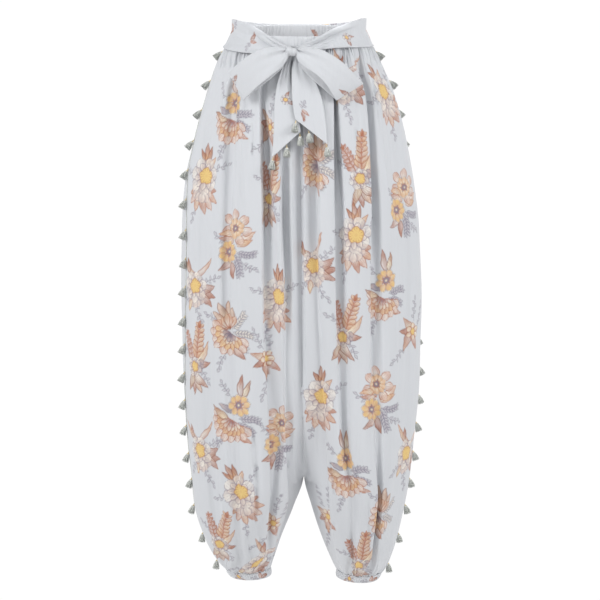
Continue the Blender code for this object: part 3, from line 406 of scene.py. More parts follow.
# Where each bunch lies on a leg: its kind, its middle (x from the centre line, z), and its turn in degrees.
Bunch = namedtuple("Bunch", "kind x z turn")
BUNCHES = {
    "front_left": rows_of(
        Bunch,
        ("fan", -112, -134, -8), ("leaves", -52, -160, 20), ("rose", -166, -248, 12),
        ("spike", -52, -262, 6), ("tall", -112, -346, -6), ("small", -182, -436, 0),
        ("rose", -40, -448, 16), ("plume", -122, -506, -10), ("leaves", -58, -560, -24),
        ("spike", -186, -560, -4), ("fan", -112, -652, 8), ("tall", -36, -690, 6),
        ("small", -176, -728, -8), ("rose", -104, -800, -14), ("leaves", -52, -866, 10),
        ("spike", -146, -888, 12), ("small", -76, -944, 20),
    ),
    "front_right": rows_of(
        Bunch,
        ("rose", 146, -104, -14), ("small", 76, -84, 10), ("plume", 30, -216, 8),
        ("spike", 98, -226, -8), ("tall", 178, -282, 6), ("rose", 92, -344, 10),
        ("small", 26, -392, -12), ("fan", 146, -436, -6), ("leaves", 196, -520, 10),
        ("spike", 74, -500, 10), ("tall", 134, -620, -8), ("rose", 36, -630, 12),
        ("small", 190, -740, 14), ("fan", 82, -752, -10), ("plume", 138, -836, 8),
        ("leaves", 50, -856, -20), ("spike", 104, -930, -6),
    ),
    "back_left": rows_of(
        Bunch,
        ("rose", -60, -110, 0), ("spike", -140, -190, 0), ("fan", -40, -250, 5),
        ("small", -110, -330, 0), ("tall", -175, -420, -4), ("plume", -58, -440, 0),
        ("rose", -118, -540, 6), ("leaves", -30, -570, 0), ("fan", -172, -640, -6),
        ("spike", -78, -690, 3), ("small", -140, -800, 0), ("tall", -64, -850, 8),
        ("rose", -118, -925, 0),
    ),
    "back_right": rows_of(
        Bunch,
        ("fan", 110, -90, -4), ("tall", 40, -170, 0), ("small", 150, -250, 0),
        ("rose", 80, -320, -5), ("spike", 20, -390, 0), ("fan", 170, -440, 4),
        ("leaves", 100, -470, 0), ("tall", 50, -560, 6), ("plume", 150, -610, 0),
        ("small", 60, -720, -4), ("rose", 160, -770, 4), ("spike", 84, -850, 0),
        ("fan", 136, -905, -8),
    ),
}


# ---------------------------------------------------------------- curves
def through(x, y, at):
    """Values at `at` of the smooth curve through (x, y), with no overshoot. y may have leading rows."""
    step = np.diff(x)
    slope = np.diff(y) / step
    product = slope[..., :-1] * slope[..., 1:]
    total = slope[..., :-1] + slope[..., 1:]
    inner = np.where(product > 0, 2 * product / np.where(product > 0, total, 1), 0)
    tangent = np.concatenate([slope[..., :1], inner, slope[..., -1:]], axis=-1)
    i = np.clip(np.searchsorted(x, at, side="right") - 1, 0, len(step) - 1)
    t = (at - x[i]) / step[i]
    return (
        y[..., i] * (1 + 2 * t) * (1 - t) ** 2
        + y[..., i + 1] * t**2 * (3 - 2 * t)
        + tangent[..., i] * step[i] * t * (1 - t) ** 2
        - tangent[..., i + 1] * step[i] * t**2 * (1 - t)
    )


def column(rows, name, z):
    """A column of a table whose rows go down from the waist, read smoothly at height z."""
    heights = np.array([row.z for row in reversed(rows)], float)
    values = np.array([getattr(row, name) for row in reversed(rows)], float)
    return through(heights, values, np.asarray(z, float))


def eased(t):
    t = np.clip(t, 0, 1)
    return t * t * (3 - 2 * t)


def sine(turns):
    return np.sin(2 * np.pi * turns)


# ---------------------------------------------------------------- painting
def linear(colour):
    """An sRGB colour in linear light."""
    colour = np.array(colour, float)
    return np.where(colour < 0.04045, colour / 12.92, ((colour + 0.055) / 1.055) ** 2.4)


def cover(depth):
    """How much of a point a shape covers, from the point's depth inside its edge."""
    return np.clip(depth / SOFT_EDGE + 0.5, 0, 1)


class Motif:
    """Points of the cloth round a motif's middle, in mm, on which flowers and leaves are painted.

    Lines drawn on them waver a little, and fills are uneven, as if painted by hand.
    """

    def __init__(self, x, y, colour, seed):
        self.x = x + 0.5 * np.sin(y / 4.3 + seed) + 0.3 * np.sin(y / 1.9 + x / 3.1 + 2 * seed)
        self.y = y + 0.5 * np.sin(x / 3.7 + 1.3 * seed) + 0.3 * np.sin(x / 1.7 - y / 2.9 + seed)
        self.colour = colour
        self.wash = 0.64 + 0.18 * np.sin(x / 5.3 + seed) * np.sin(y / 6.1 - seed)

    def lay(self, near, amount, colour):
        self.colour[near] += (linear(colour) - self.colour[near]) * np.clip(amount, 0, 1)[:, None]

    def local(self, x, y, turn, reach):
        """Points within reach of (x, y), and how far they lie along and across a shape that starts there."""
        near = np.nonzero((np.abs(self.x - x) < reach) & (np.abs(self.y - y) < reach))[0]
        turn = np.radians(turn)
        dx, dy = self.x[near] - x, self.y[near] - y
        return near, dx * np.sin(turn) + dy * np.cos(turn), dx * np.cos(turn) - dy * np.sin(turn)

    def petal(self, x, y, length, width, turn, fill, tip=None, line=DEEP_RUST, bend=0.0, blunt=0.0, veins=1,
              strength=0.8):
        """A petal or leaf: pointed, or broad near its end where it is blunt, with veins along it."""
        near, along, across = self.local(x, y, turn, length * (1.1 + abs(bend)) + 2)
        t = along / length
        inside_t = np.clip(t, 0, 1)
        across = across - bend * length * inside_t**2
        half = width / 2 * np.sin(np.pi * inside_t ** (0.75 + 0.9 * blunt)) ** (0.85 - 0.35 * blunt)
        beyond = -np.maximum(np.abs(across), length * np.maximum(-t, t - 1))
        depth = np.where((t > 0) & (t < 1), half - np.abs(across), beyond)
        inside = cover(depth)
        wash = inside * self.wash[near]
        self.lay(near, wash, fill)
        if tip is not None:
            self.lay(near, wash * eased((t - 0.3) / 0.5) * 0.85, tip)
        self.lay(near, inside * np.clip(across / width + 0.08, 0, 0.35) * strength, line)
        place = across / np.maximum(half, 0.3) * veins
        vein = np.abs(place - np.round(place)) * np.maximum(half, 0.3) / max(veins, 1)
        self.lay(near, cover(LINE * 0.5 - vein) * inside * 0.6 * strength * (t < 0.8) * (veins > 0), line)
        self.lay(near, cover(LINE - np.abs(depth)) * strength, line)

    def ring(self, x, y, radius, count, width, fill, tip=None, line=DEEP_RUST, turn=0.0, spread=360.0,
             blunt=0.8, veins=1, start=0.3, strength=0.8):
        """Petals round a point, or fanned over part of a turn, the middle ones on top."""
        turns = (np.arange(count) + 0.5) / count * spread - spread / 2
        for off in sorted(turns, key=lambda off: -abs(off)):
            way = np.radians(turn + off)
            length = radius * (1 + 0.06 * np.sin(5 * off + x)) * (1 - start)
            self.petal(x + start * radius * np.sin(way), y + start * radius * np.cos(way), length, width,
                       turn + off, fill, tip, line, 0.06 * np.sin(3 * off + y), blunt, veins, strength)

    def disc(self, x, y, radius, fill, line):
        near, along, across = self.local(x, y, 0, radius + 2)
        r = np.hypot(along, across)
        self.lay(near, cover(radius - r), fill)
        self.lay(near, cover(LINE - np.abs(radius - r)) * 0.7, line)

    def daisy(self, x, y, radius, turn=0.0, count=9, fill=OCHRE, tip=YELLOW):
        """An open flower: rimmed petals and a dotted heart."""
        self.ring(x, y, radius + 1.3, count, radius * 0.66, BUFF, None, SLATE, turn, veins=0, strength=0.5)
        self.ring(x, y, radius, count, radius * 0.50, fill, tip, ORANGE, turn, strength=0.9)
        self.disc(x, y, radius * 0.33, MAUVE, RUST)
        for k in range(6):
            way = np.radians(60 * k + turn)
            self.disc(x + 0.42 * radius * np.sin(way), y + 0.42 * radius * np.cos(way), 0.6, RUST, MAUVE)
        self.disc(x, y, radius * 0.12, BUFF, MAUVE)

    def rose(self, x, y, radius):
        """A round flower with stamens round its heart."""
        near, along, across = self.local(x, y, 0, radius * 1.15 + 2)
        r, angle = np.hypot(along, across), np.arctan2(across, along)
        depth = radius * (1 + 0.06 * np.cos(5 * angle + 1) + 0.03 * np.cos(9 * angle)) - r
        inside = cover(depth)
        self.lay(near, inside, YELLOW)
        share, spoke = r / radius, np.cos(13 * angle)
        stamens = eased((share - 0.3) / 0.1) * eased((0.8 - share) / 0.1)
        self.lay(near, inside * stamens * eased(spoke * 1.3 + 0.1) * 0.7, OCHRE)
        self.lay(near, inside * eased(1 - np.abs(share - 0.8) / 0.16) * eased(spoke * 2 - 0.6) * 0.7, RUST)
        self.lay(near, inside * eased((0.3 - share) / 0.12) * 0.45, OCHRE)
        self.lay(near, inside * eased((share - 0.6) / 0.4) * 0.35, OCHRE)
        self.lay(near, cover(LINE - np.abs(depth)) * 0.7, RUST)

    def peony(self, x, y, radius, turn, heart=0.42):
        """Ruffled petals in rings round a smaller flower."""
        self.ring(x, y, radius, 7, radius * 0.68, CREAM, None, MAUVE, turn, blunt=1.0, veins=2, strength=0.75)
        self.ring(x, y, radius * 0.72, 9, radius * 0.34, BLUSH, CREAM, MAUVE, turn, blunt=0.6, strength=0.85)
        self.rose(x + radius * 0.08, y + radius * 0.05, radius * heart)

    def fan(self, x, y, radius, turn, spread, fill=BLUSH):
        """Half a flower seen from the side: long striped petals behind a scalloped cup."""
        for share, count, width, low, tip, open_share, blunt, veins, start, strength in (
                (1.0, 9, 0.34, CREAM, BLUSH, 1.0, 0.9, 2, 0.35, 0.85),
                (0.74, 8, 0.28, fill, OCHRE, 0.9, 0.9, 1, 0.3, 0.85),
                (0.5, 7, 0.2, PALE_MAUVE, BUFF, 0.9, 0.9, 0, 0.2, 0.8),
                (0.28, 5, 0.16, MAUVE, BLUSH, 0.8, 0.8, 0, 0.1, 0.7)):
            self.ring(x, y, radius * share, count, radius * width, low, tip, RUST, turn, spread * open_share,
                      blunt, veins, start, strength)

    def stem(self, x, y, length, turn, bend, line, strength=0.7):
        near, along, across = self.local(x, y, turn, length * 1.3 + 2)
        t = along / length
        across = across - bend * length * np.clip(t, 0, 1) ** 2
        self.lay(near, cover(LINE * 0.8 - np.abs(across)) * ((t > 0) & (t < 1)) * strength, line)

    def sprig(self, x, y, length, turn, bend, count=6):
        """A thin stem with small outlined leaves."""
        self.stem(x, y, length, turn, bend, SLATE, 0.55)
        for k in range(count):
            t = (k + 1.0) / count
            side = 0 if k == count - 1 else (52 if k % 2 else -52)
            self.petal(*on_stem(x, y, length, turn, bend, t), 6.2, 3.6, turn + side + 40 * bend * t,
                       PALE_MAUVE, line=SLATE, veins=0, strength=0.55)

    def leaf(self, x, y, length, turn, bend, fill=TERRACOTTA, tip=RUST, line=DEEP_RUST, share=0.42, veins=1):
        self.petal(x, y, length, length * share, turn, fill, tip, line, bend, 0.0, veins, 0.75)

    def feather(self, x, y, length, turn, bend, fill=PALE_MAUVE):
        """A long leaf with a toothed edge."""
        self.petal(x, y, length, length * 0.24, turn, fill, None, SLATE, bend, 0.2, 1, 0.5)
        for k in range(6):
            t = 0.12 + 0.13 * k
            for side in (-42, 42):
                self.petal(*on_stem(x, y, length, turn, bend, t), length * 0.23, length * 0.10,
                           turn + 60 * bend * t + side, fill, None, SLATE, 0, 0.3, 0, 0.6)

    def spike(self, x, y, length, turn, fill=ORANGE, tip=BUFF, count=7):
        """A stem with pairs of small petals, narrower to its tip."""
        self.stem(x, y, length, turn, 0.0, RUST)
        for k in range(count):
            t = k / count
            size = length * (0.31 - 0.14 * t)
            for side in (-36, 36):
                self.petal(*on_stem(x, y, length, turn, 0, t), size, size * 0.5, turn + side, fill, tip, RUST,
                           side * 0.004, 0.5)
        self.petal(*on_stem(x, y, length, turn, 0, 0.86), length * 0.2, length * 0.09, turn, RUST, fill, RUST)


def on_stem(x, y, length, turn, bend, t):
    """The place a share t of the way along a bent stem from (x, y)."""
    way, aside = np.radians(turn), bend * length * t**2
    return (x + length * t * np.sin(way) + aside * np.cos(way),
            y + length * t * np.cos(way) - aside * np.sin(way))


# The bunches: each is drawn on a motif's points, what lies behind first. Places and lengths are in mm round
# the bunch's middle, turns in degrees from straight up, and bends in shares of a length.
def tall_bunch(m):
    m.sprig(-12, -6, 26, -62, 0.2)
    m.sprig(12, -32, 22, 138, -0.3)
    m.feather(4, -18, 32, 108, -0.25)
    m.feather(2, -20, 36, 160, 0.2)
    m.leaf(-8, -28, 26, -132, 0.25, BLUSH, RUST)
    m.leaf(-4, -30, 24, -172, -0.2, TERRACOTTA, RUST, DEEP_RUST, 0.4, 2)
    m.leaf(6, -2, 28, 84, -0.35, CREAM, ORANGE, RUST, 0.5, 2)
    m.leaf(4, -8, 24, 58, 0.3, BUFF, ORANGE, RUST, 0.45, 2)
    m.ring(2, 18, 26, 7, 13, CREAM, TERRACOTTA, RUST, 4, blunt=0.7, veins=2)
    m.daisy(2, 18, 14, 20, 10, BUFF, ORANGE)
    m.leaf(-4, 8, 24, -64, -0.3, BUFF, ORANGE, RUST, 0.4, 2)
    m.leaf(-3, 2, 24, -96, 0.3, CREAM, RUST, RUST, 0.36, 2)
    m.daisy(-13, -16, 16, 10)


def rose_bunch(m):
    m.sprig(14, 14, 30, 38, 0.25)
    m.sprig(-18, 2, 26, -72, -0.25)
    for turn, long in ((-34, 24), (-8, 30), (14, 26)):
        m.leaf(-2, 24, long, turn, -0.1, ORANGE, RUST, DEEP_RUST, 0.3)
    m.leaf(2, 20, 22, 46, -0.2, BUFF, ORANGE, RUST)
    for turn, long, fill, tip in (
            (118, 36, BLUSH, ORANGE), (92, 30, CREAM, RUST), (142, 38, CREAM, TERRACOTTA),
            (-168, 36, BUFF, TERRACOTTA), (-142, 32, CREAM, TERRACOTTA), (-196, 38, CREAM, RUST),
            (-118, 26, BUFF, RUST)):
        m.petal(0, -10, long, long * 0.32, turn, fill, tip, RUST, -0.12, 0.4, 2, 0.8)
    m.ring(0, -12, 20, 6, 12, CREAM, BLUSH, MAUVE, 180, 190, 0.9, 1, 0.2, 0.7)
    m.peony(0, 6, 27, 12)
    m.sprig(-4, -42, 18, 206, -0.3, 4)


def fan_bunch(m):
    m.leaf(6, 30, 30, -18, 0.25, BLUSH, RUST, DEEP_RUST, 0.3)
    m.leaf(8, 30, 26, 34, -0.3, BUFF, RUST, DEEP_RUST, 0.3)
    m.sprig(-10, 26, 24, -50, 0.2)
    m.feather(6, -4, 34, 76, 0.3)
    m.feather(6, -10, 32, 110, 0.2)
    m.leaf(0, -20, 32, 138, -0.3, CREAM, RUST, RUST, 0.34, 2)
    m.fan(-4, -8, 34, -158, 190)
    m.leaf(-12, -6, 28, -74, 0.25, BUFF, RUST, DEEP_RUST, 0.36, 2)
    m.leaf(-8, 2, 22, -44, -0.25, MAUVE, BLUSH, SLATE, 0.4)
    m.daisy(4, 16, 16, 8, 8)
    m.sprig(-16, -38, 22, -132, -0.3)


def spike_bunch(m):
    m.sprig(8, -12, 26, 128, 0.25)
    m.sprig(-10, 6, 26, -50, -0.3)
    m.spike(-4, 0, 42, -20, BLUSH, RUST, 6)
    m.spike(6, 2, 52, 12)
    m.leaf(6, -6, 36, 60, -0.45, BUFF, ORANGE, RUST, 0.26)
    m.leaf(4, -8, 26, 100, -0.3, BLUSH, RUST)
    for turn, fill, tip in ((192, BLUSH, RUST), (164, CREAM, ORANGE), (220, BUFF, RUST), (138, CREAM, RUST)):
        m.leaf(0, -22, 30, turn, -0.15, fill, tip, DEEP_RUST, 0.38, 2)
    m.ring(4, -8, 15, 6, 9, MAUVE, BLUSH, SLATE, 160, 200, 0.8, 1, 0.2, 0.6)
    m.peony(0, -12, 15, 5, 0.5)


def small_bunch(m):
    m.leaf(0, 20, 44, -74, 0.35, BUFF, ORANGE, RUST, 0.2, 2)
    m.leaf(2, 20, 38, 64, -0.3, CREAM, ORANGE, RUST, 0.2, 2)
    m.leaf(-12, 22, 22, -30, 0.2, TERRACOTTA, RUST)
    m.sprig(16, 8, 28, 50, 0.3)
    m.sprig(2, -20, 30, 172, -0.2)
    m.sprig(-16, -14, 24, -122, -0.2)
    for turn, fill in ((112, TERRACOTTA), (84, BLUSH), (142, BLUSH)):
        m.leaf(6, -2, 32, turn, -0.2, fill, RUST, DEEP_RUST, 0.4, 2)
    m.ring(-2, -10, 18, 6, 11, CREAM, BLUSH, MAUVE, 190, 170, 0.9, 2, 0.2, 0.7)
    m.peony(-3, 3, 23, 25, 0.46)
    m.leaf(-10, -16, 18, 208, -0.2, BUFF, YELLOW, RUST)


def plume_bunch(m):
    m.sprig(-12, 14, 26, -40, -0.25)
    m.feather(8, 4, 34, 66, -0.3, CREAM)
    m.feather(8, -2, 32, 98, 0.2, CREAM)
    m.feather(6, -10, 28, 128, 0.3, CREAM)
    for turn, long in ((32, 34), (12, 40), (-10, 42), (-32, 36), (-54, 28)):
        m.petal(2, 4, long, long * 0.28, turn, BUFF, TERRACOTTA, DEEP_RUST, -0.1, 0.4, 2, 0.75)
    m.ring(2, 2, 24, 7, 9, CREAM, ORANGE, RUST, -10, 120, 0.7, 1, 0.2)
    m.fan(2, -2, 33, -142, 200, BUFF)
    m.ring(2, -2, 12, 5, 7, MAUVE, BLUSH, SLATE, -142, 170, 0.8, 0, 0.1, 0.7)
    m.sprig(-12, -30, 24, -128, -0.25)
    m.leaf(4, -24, 22, 155, -0.2, BLUSH, RUST)


def leaf_bunch(m):
    m.sprig(12, 14, 34, 30, -0.25, 7)
    m.sprig(2, 22, 30, -14, 0.2)
    m.sprig(-10, -16, 34, -146, 0.2, 7)
    m.leaf(8, 12, 32, -118, 0.25, TERRACOTTA, RUST, DEEP_RUST, 0.4, 2)
    m.leaf(0, 6, 28, 160, -0.2, BLUSH, RUST, RUST, 0.4, 2)
    m.leaf(-2, 6, 30, -152, -0.15, TERRACOTTA, ORANGE, DEEP_RUST, 0.42, 2)
    m.leaf(2, 8, 26, -62, 0.2, BUFF, RUST, RUST, 0.4, 2)
    m.ring(2, 6, 13, 6, 8, CREAM, BUFF, RUST, 20, 360, 0.8, 1, 0.15)
    m.rose(2, 6, 5)


def small_flower(m):
    m.leaf(3, -3, 13, 130, 0.2)
    m.leaf(-3, -2, 12, -120, -0.2, BLUSH, RUST)
    m.ring(0, 0, 8.5, 6, 6.5, PALE_MAUVE, CREAM, SLATE, 10, 360, 0.8, 1, 0.15, 0.6)
    m.rose(0, 0, 3.4)


def small_leaves(m):
    m.leaf(0, -4, 17, 38, 0.2, TERRACOTTA, RUST, DEEP_RUST, 0.42, 2)
    m.leaf(0, -4, 13, -40, 0.2, BLUSH, RUST, RUST, 0.42)
    m.sprig(-2, -5, 14, -120, 0.2, 4)


KINDS = {"tall": tall_bunch, "rose": rose_bunch, "fan": fan_bunch, "spike": spike_bunch,
         "small": small_bunch, "plume": plume_bunch, "leaves": leaf_bunch, "small_flower": small_flower,
         "small_leaves": small_leaves}
BUNCH_REACH = (62.0, 84.0)  # beyond which nothing of a bunch is painted, across and along the cloth
BUNCH_SIZE = 1.2  # of the bunches on the legs, to those on the sash and the bands
UNEVEN_STEP = 1.7  # from the seed of one bunch's uneven lines to that of the next

# Small bunches on the sash and the bands. along, down: shares of the cloth's width and length; seed: of the
# unevenness of their lines.
Spot = namedtuple("Spot", "along down kind turn seed")
SPOTS = {
    "waistband": rows_of(
        Spot,
        (0.46, 0.5, "small_leaves", 80, 0.0), (0.61, 0.5, "small_leaves", 30, 3.1),
        (0.15, 0.5, "small_flower", 60, 6.2), (0.80, 0.5, "small_flower", -70, 9.3),
    ),
    "cuff": rows_of(
        Spot,
        (0.93, 0.5, "small_flower", 0, 0.0), (0.10, 0.5, "small_leaves", 25, 2.3),
        (0.5, 0.5, "rose", 50, 4.6),
    ),
    "sash_band": rows_of(
        Spot,
        (0.125, 0.6, "small_flower", 40, 0.0), (0.905, 0.53, "small_leaves", -60, 1.3),
        (0.80, 0.3, "small_leaves", 70, 2.6), (0.26, 0.53, "small_leaves", 70, 3.9),
        (0.44, 0.46, "fan", -60, 5.2), (0.66, 0.53, "small_flower", 80, 6.5),
    ),
    "bow_loop_left": rows_of(Spot, (0.44, 0.64, "small_flower", -30, 0.4)),
    "bow_loop_right": rows_of(Spot, (0.515, 0.35, "small_leaves", 20, 0.9)),
    "sash_tail_left": rows_of(Spot, (0.56, 0.55, "small_flower", 10, 0.7)),
    "sash_tail_right": rows_of(Spot, (0.76, 0.66, "small_leaves", 40, 1.9)),
}


def ground_colour(grid):
    return np.tile(linear(GROUND), (*grid.shape[:2], 1))


def cloth_measure(grid):
    """How far each point of a piece of cloth is across it and down it, measured along the cloth."""
    across = np.linalg.norm(np.diff(grid, axis=1), axis=2)
    down = np.linalg.norm(np.diff(grid, axis=0), axis=2)
    u = np.concatenate([np.zeros((len(grid), 1)), np.cumsum(across, axis=1)], axis=1)
    v = np.concatenate([np.zeros((1, grid.shape[1])), np.cumsum(down, axis=0)], axis=0)
    return u, v


def paint_bunch(colour, u, v, i, j, kind, turn, seed, mirrored=1, size=1.0):
    """Paints a bunch round the point (i, j) of a piece of cloth."""
    x = (u - u[:, j:j + 1]) * mirrored / size
    y = (v[i:i + 1] - v) / size
    near = (np.abs(x) < BUNCH_REACH[0]) & (np.abs(y) < BUNCH_REACH[1])
    way = np.radians(turn)
    x, y = x[near], y[near]
    painted = colour[near]
    KINDS[kind](Motif(x * np.cos(way) - y * np.sin(way), x * np.sin(way) + y * np.cos(way), painted, seed))
    colour[near] = painted


def spotted(grid, spots, mirrored=1):
    """The colours of a piece of the sash or of a band, with its small bunches."""
    colour = ground_colour(grid)
    u, v = cloth_measure(grid)
    for spot in spots:
        i, j = int(spot.down * grid.shape[0]), int(spot.along * grid.shape[1])
        paint_bunch(colour, u, v, i, j, spot.kind, spot.turn, spot.seed, mirrored)
    return colour


# ---------------------------------------------------------------- the plain outline
class Outline:
    """Half of the trousers without folds, from centre front (s = 0) round the side (1) to the back (2)."""

    def __init__(self, side, z):
        z = np.asarray(z, float)[:, None]
        self.sign = -1 if side == "left" else 1
        self.edge = column(SECTIONS, side, z)
        self.centre = column(SECTIONS, "centre", z)
        self.inner = self.centre + self.sign * column(SECTIONS, "gap", z)
        self.front, self.back = column(SECTIONS, "front", z), column(SECTIONS, "back", z)
        down = np.clip((z - WAIST_SEAM) / (CROTCH - WAIST_SEAM), 0, 1)
        self.seam_reach = (1 - down**CROTCH_ROUND) ** (2 / CROTCH_ROUND)
        self.joined = 1 - eased((PARTING_TOP - z) / (PARTING_TOP - PARTING_END))  # 1: one body; 0: two legs
        self.s = np.broadcast_to(np.linspace(0, 2, 2 * HALF_STEPS + 1), (len(z), 2 * HALF_STEPS + 1))
        self.points = self.at(self.s)
        steps = np.linalg.norm(np.diff(self.points, axis=1), axis=2)
        self.arc = np.concatenate([np.zeros((len(z), 1)), np.cumsum(steps, axis=1)], axis=1)
        self.seam = self.arc[:, HALF_STEPS:HALF_STEPS + 1] - column(SECTIONS, "turn_" + side, z)

    def at(self, s):
        depth = np.where(s < 1, self.front, self.back)
        body_x = self.inner + (self.edge - self.inner) * np.sin(np.pi * s / 2)
        leg_x = self.inner + (self.edge - self.inner) * (1 - np.cos(np.pi * s)) / 2
        near_seam = np.clip(1 - np.minimum(s, 2 - s) / SEAM_PULL, 0, 1) ** 2
        body_reach = self.joined + (self.seam_reach - self.joined) * near_seam
        reach = body_reach * np.cos(np.pi * s / 2) ** 2 + (1 - self.joined) * np.sin(np.pi * s) ** 2
        y = np.where(s < 1, -1, 1) * depth * np.sqrt(reach)
        return np.stack([leg_x + (body_x - leg_x) * self.joined, y], axis=-1)

    def along(self, arc):
        """Points at distances `arc` from centre front, and the outward normals there."""
        s = np.array([np.interp(a, row, self.s[0]) for a, row in zip(arc, self.arc)])
        ahead = self.at(np.minimum(s + 1e-3, 2)) - self.at(np.maximum(s - 1e-3, 0))
        ahead /= np.linalg.norm(ahead, axis=-1, keepdims=True)
        normal = np.stack([ahead[..., 1], -ahead[..., 0]], axis=-1) * self.sign
        return self.at(s), normal

    def arc_at(self, x, front):
        """For each height, how far round from the centre seam the outline is `x` from the centre line."""
        found = []
        for row, arc, points, centre in zip(x, self.arc, self.points, self.centre):
            half = slice(0, HALF_STEPS + 1) if front else slice(2 * HALF_STEPS, HALF_STEPS - 1, -1)
            travelled = arc[half] if front else arc[-1] - arc[half]
            found.append(np.interp(row, np.abs(points[half, 0] - centre), travelled))
        return np.array(found)


# ---------------------------------------------------------------- leg panels
def by_height(values, z):
    """A row of a fold table, given at the stations, read smoothly at heights z."""
    stations, values = np.array(STATIONS[::-1], float), np.array(values[::-1], float)
    return through(stations, values, np.asarray(z, float))[:, None]


def fold_lines(panel, z):
    """At each height, how far round each line of points is, and how high it stands off the outline."""
    face, side = panel.split("_")
    front = face == "front"
    outline = Outline(side, z)
    end = outline.seam if front else outline.arc[:, -1:] - outline.seam
    end = end - TAPE_WIDTH / 2
    start = np.zeros_like(end)

    def reach(x):
        return outline.arc_at(x, front)

    centre = CENTRES[panel]
    edge, depth, seam = (by_height(values, z) for values in (centre.edges, centre.depths, SEAM_DEPTHS[face]))
    floor = (CREST_SHARE - 1) * depth
    floor_end = reach(edge - CENTRE_WALL)
    # from the seam over the low ridge to the floor of its trough, and up the outer wall
    lines = [start, floor_end * centre.ridge / 2, floor_end * centre.ridge,
             floor_end * (centre.ridge + 0.9) / 2, floor_end * 0.94, reach(edge)]
    heights = [-seam, -seam * 0.7, -seam * 0.15, floor * 0.75, floor, CREST_SHARE * depth]
    for fold in FOLDS[panel]:
        middle, depth, width, inner, outer = (by_height(values, z) for values in fold)
        corners = (-width / 2 - inner / 2, -width / 2 + inner / 2,
                   width / 2 - outer / 2, width / 2 + outer / 2)
        crest, floor = CREST_SHARE * depth, (CREST_SHARE - 1) * depth
        spots = [reach(middle + corner) for corner in corners]
        lines.append((lines[-1] + spots[0]) / 2)
        heights.append(np.maximum(heights[-1], crest) + BULGE * eased(depth / BULGE_DEPTH))
        lines += spots
        heights += [crest, floor, floor, crest]
    for share in TO_SIDE_SEAM:
        lines.append(spots[-1] + (end - spots[-1]) * share)
        heights.append(crest * (1 - share))
    lines.append(end)
    heights.append(np.zeros_like(end))
    return spread_out(np.concatenate(lines, axis=1), start, end, z), np.concatenate(heights, axis=1), outline


def spread_out(arc, start, end, z):
    """Lines of points spaced evenly at the waist and the cuffs, and nowhere closer than NEAREST."""
    z = np.asarray(z, float)[:, None]
    even = start + (end - start) * np.linspace(0, 1, arc.shape[1])
    near_waist = eased((z - WAIST_SEAM + EVEN_TOP) / EVEN_TOP)
    near_cuff = eased((CUFF_SEAM + EVEN_HEM - z) / EVEN_HEM)
    arc = arc + (even - arc) * np.maximum(near_waist, near_cuff)
    for j in range(1, arc.shape[1]):
        arc[:, j] = np.maximum(arc[:, j], arc[:, j - 1] + NEAREST)
    arc[:, -1:] = end
    for j in range(arc.shape[1] - 2, -1, -1):
        arc[:, j] = np.minimum(arc[:, j], arc[:, j + 1] - NEAREST)
    arc[:, :1] = start
    return arc


def gathered(place, distance, gathers, seed):
    """Height of the gathers at places across a panel, at a distance from the seam that gathers it.

    Slow waves of no common length vary their spacing, depth and reach, so that no two are alike.
    """
    height = np.zeros_like(place * distance)
    for k, (count, depth, reach, narrow) in enumerate(gathers):
        uneven_step = 0.3 * sine(place * 2.3 + seed + 0.4 * k) + 0.2 * sine(place * 6.1 + 2 * seed)
        phase = np.pi * (place * count + uneven_step)
        phase = phase + 0.25 * np.sin(distance / 37 + 11 * place) * distance / 60
        uneven_depth = 0.62 + 0.38 * sine(place * 3.7 + 1.7 * seed + 0.3 * k)
        length = reach * (1 + 0.5 * sine(place * 5.1 + seed - 0.2 * k))
        valley = np.exp(-(np.sin(phase) / narrow) ** 2)
        height = height + depth * uneven_depth * (0.28 - valley) * np.exp(-(distance / length) ** 1.3)
    return height


def furrow(off, crease, sharp):
    """How much of its depth a crease has at distances `off` across it; `sharp` is its sharp side's width."""
    widths = np.where(off * crease.edge > 0, sharp, crease.width)
    return np.exp(-(off / widths * 1.7) ** 2)


def creased(panel, z, arc, outline):
    """Height of a panel's smaller creases."""
    front = panel.startswith("front")
    height = np.zeros_like(arc)
    for crease in CREASES[panel]:
        down = ((z - crease.z) / (crease.z_end - crease.z))[:, None]
        fade = eased(down / CREASE_BEGINS) * eased((1 - down) / CREASE_ENDS)
        sway = CREASE_SWAY * np.sin(z / SWAY_LENGTH + crease.x)[:, None]
        off = arc - outline.arc_at(crease.x + (crease.x_end - crease.x) * down + sway, front)
        height -= crease.depth * fade * furrow(off, crease, SHARP_EDGE)
    return height


def leg_cloth(panel, z, place):
    """Points of a panel's outer face at heights z and places across it, 0 at the centre and 1 at the side."""
    arc, height, outline = fold_lines(panel, z)
    middle = np.argmin(np.abs(z - MIDWAY))
    steps = np.hypot(np.diff(arc[middle]), np.diff(height[middle]))
    lines = np.concatenate([[0], np.cumsum(steps)]) / steps.sum()
    arc, height = through(lines, arc, place), through(lines, height, place)
    seed = 0.37 * list(FOLDS).index(panel)
    down = z[:, None]
    height = height + gathered(place, WAIST_SEAM - down, WAIST_GATHERS, seed)
    height = height + gathered(place, down - CUFF_SEAM, CUFF_GATHERS, seed + 0.21)
    groove = CUFF_GROOVE * np.exp(-(down - CUFF_SEAM) / CUFF_GROOVE)
    height = height + creased(panel, z, arc, outline) - groove
    drape = np.sin(down / 41 + 9 * place + seed) * np.sin(23 * place - down / 67 + 3 * seed)
    height = height + DRAPE * drape * eased(place / 0.1) * eased((1 - place) / 0.1)
    if panel.startswith("back"):
        arc = outline.arc[:, -1:] - arc
    points, normals = outline.along(arc)
    return points + normals * height[..., None]


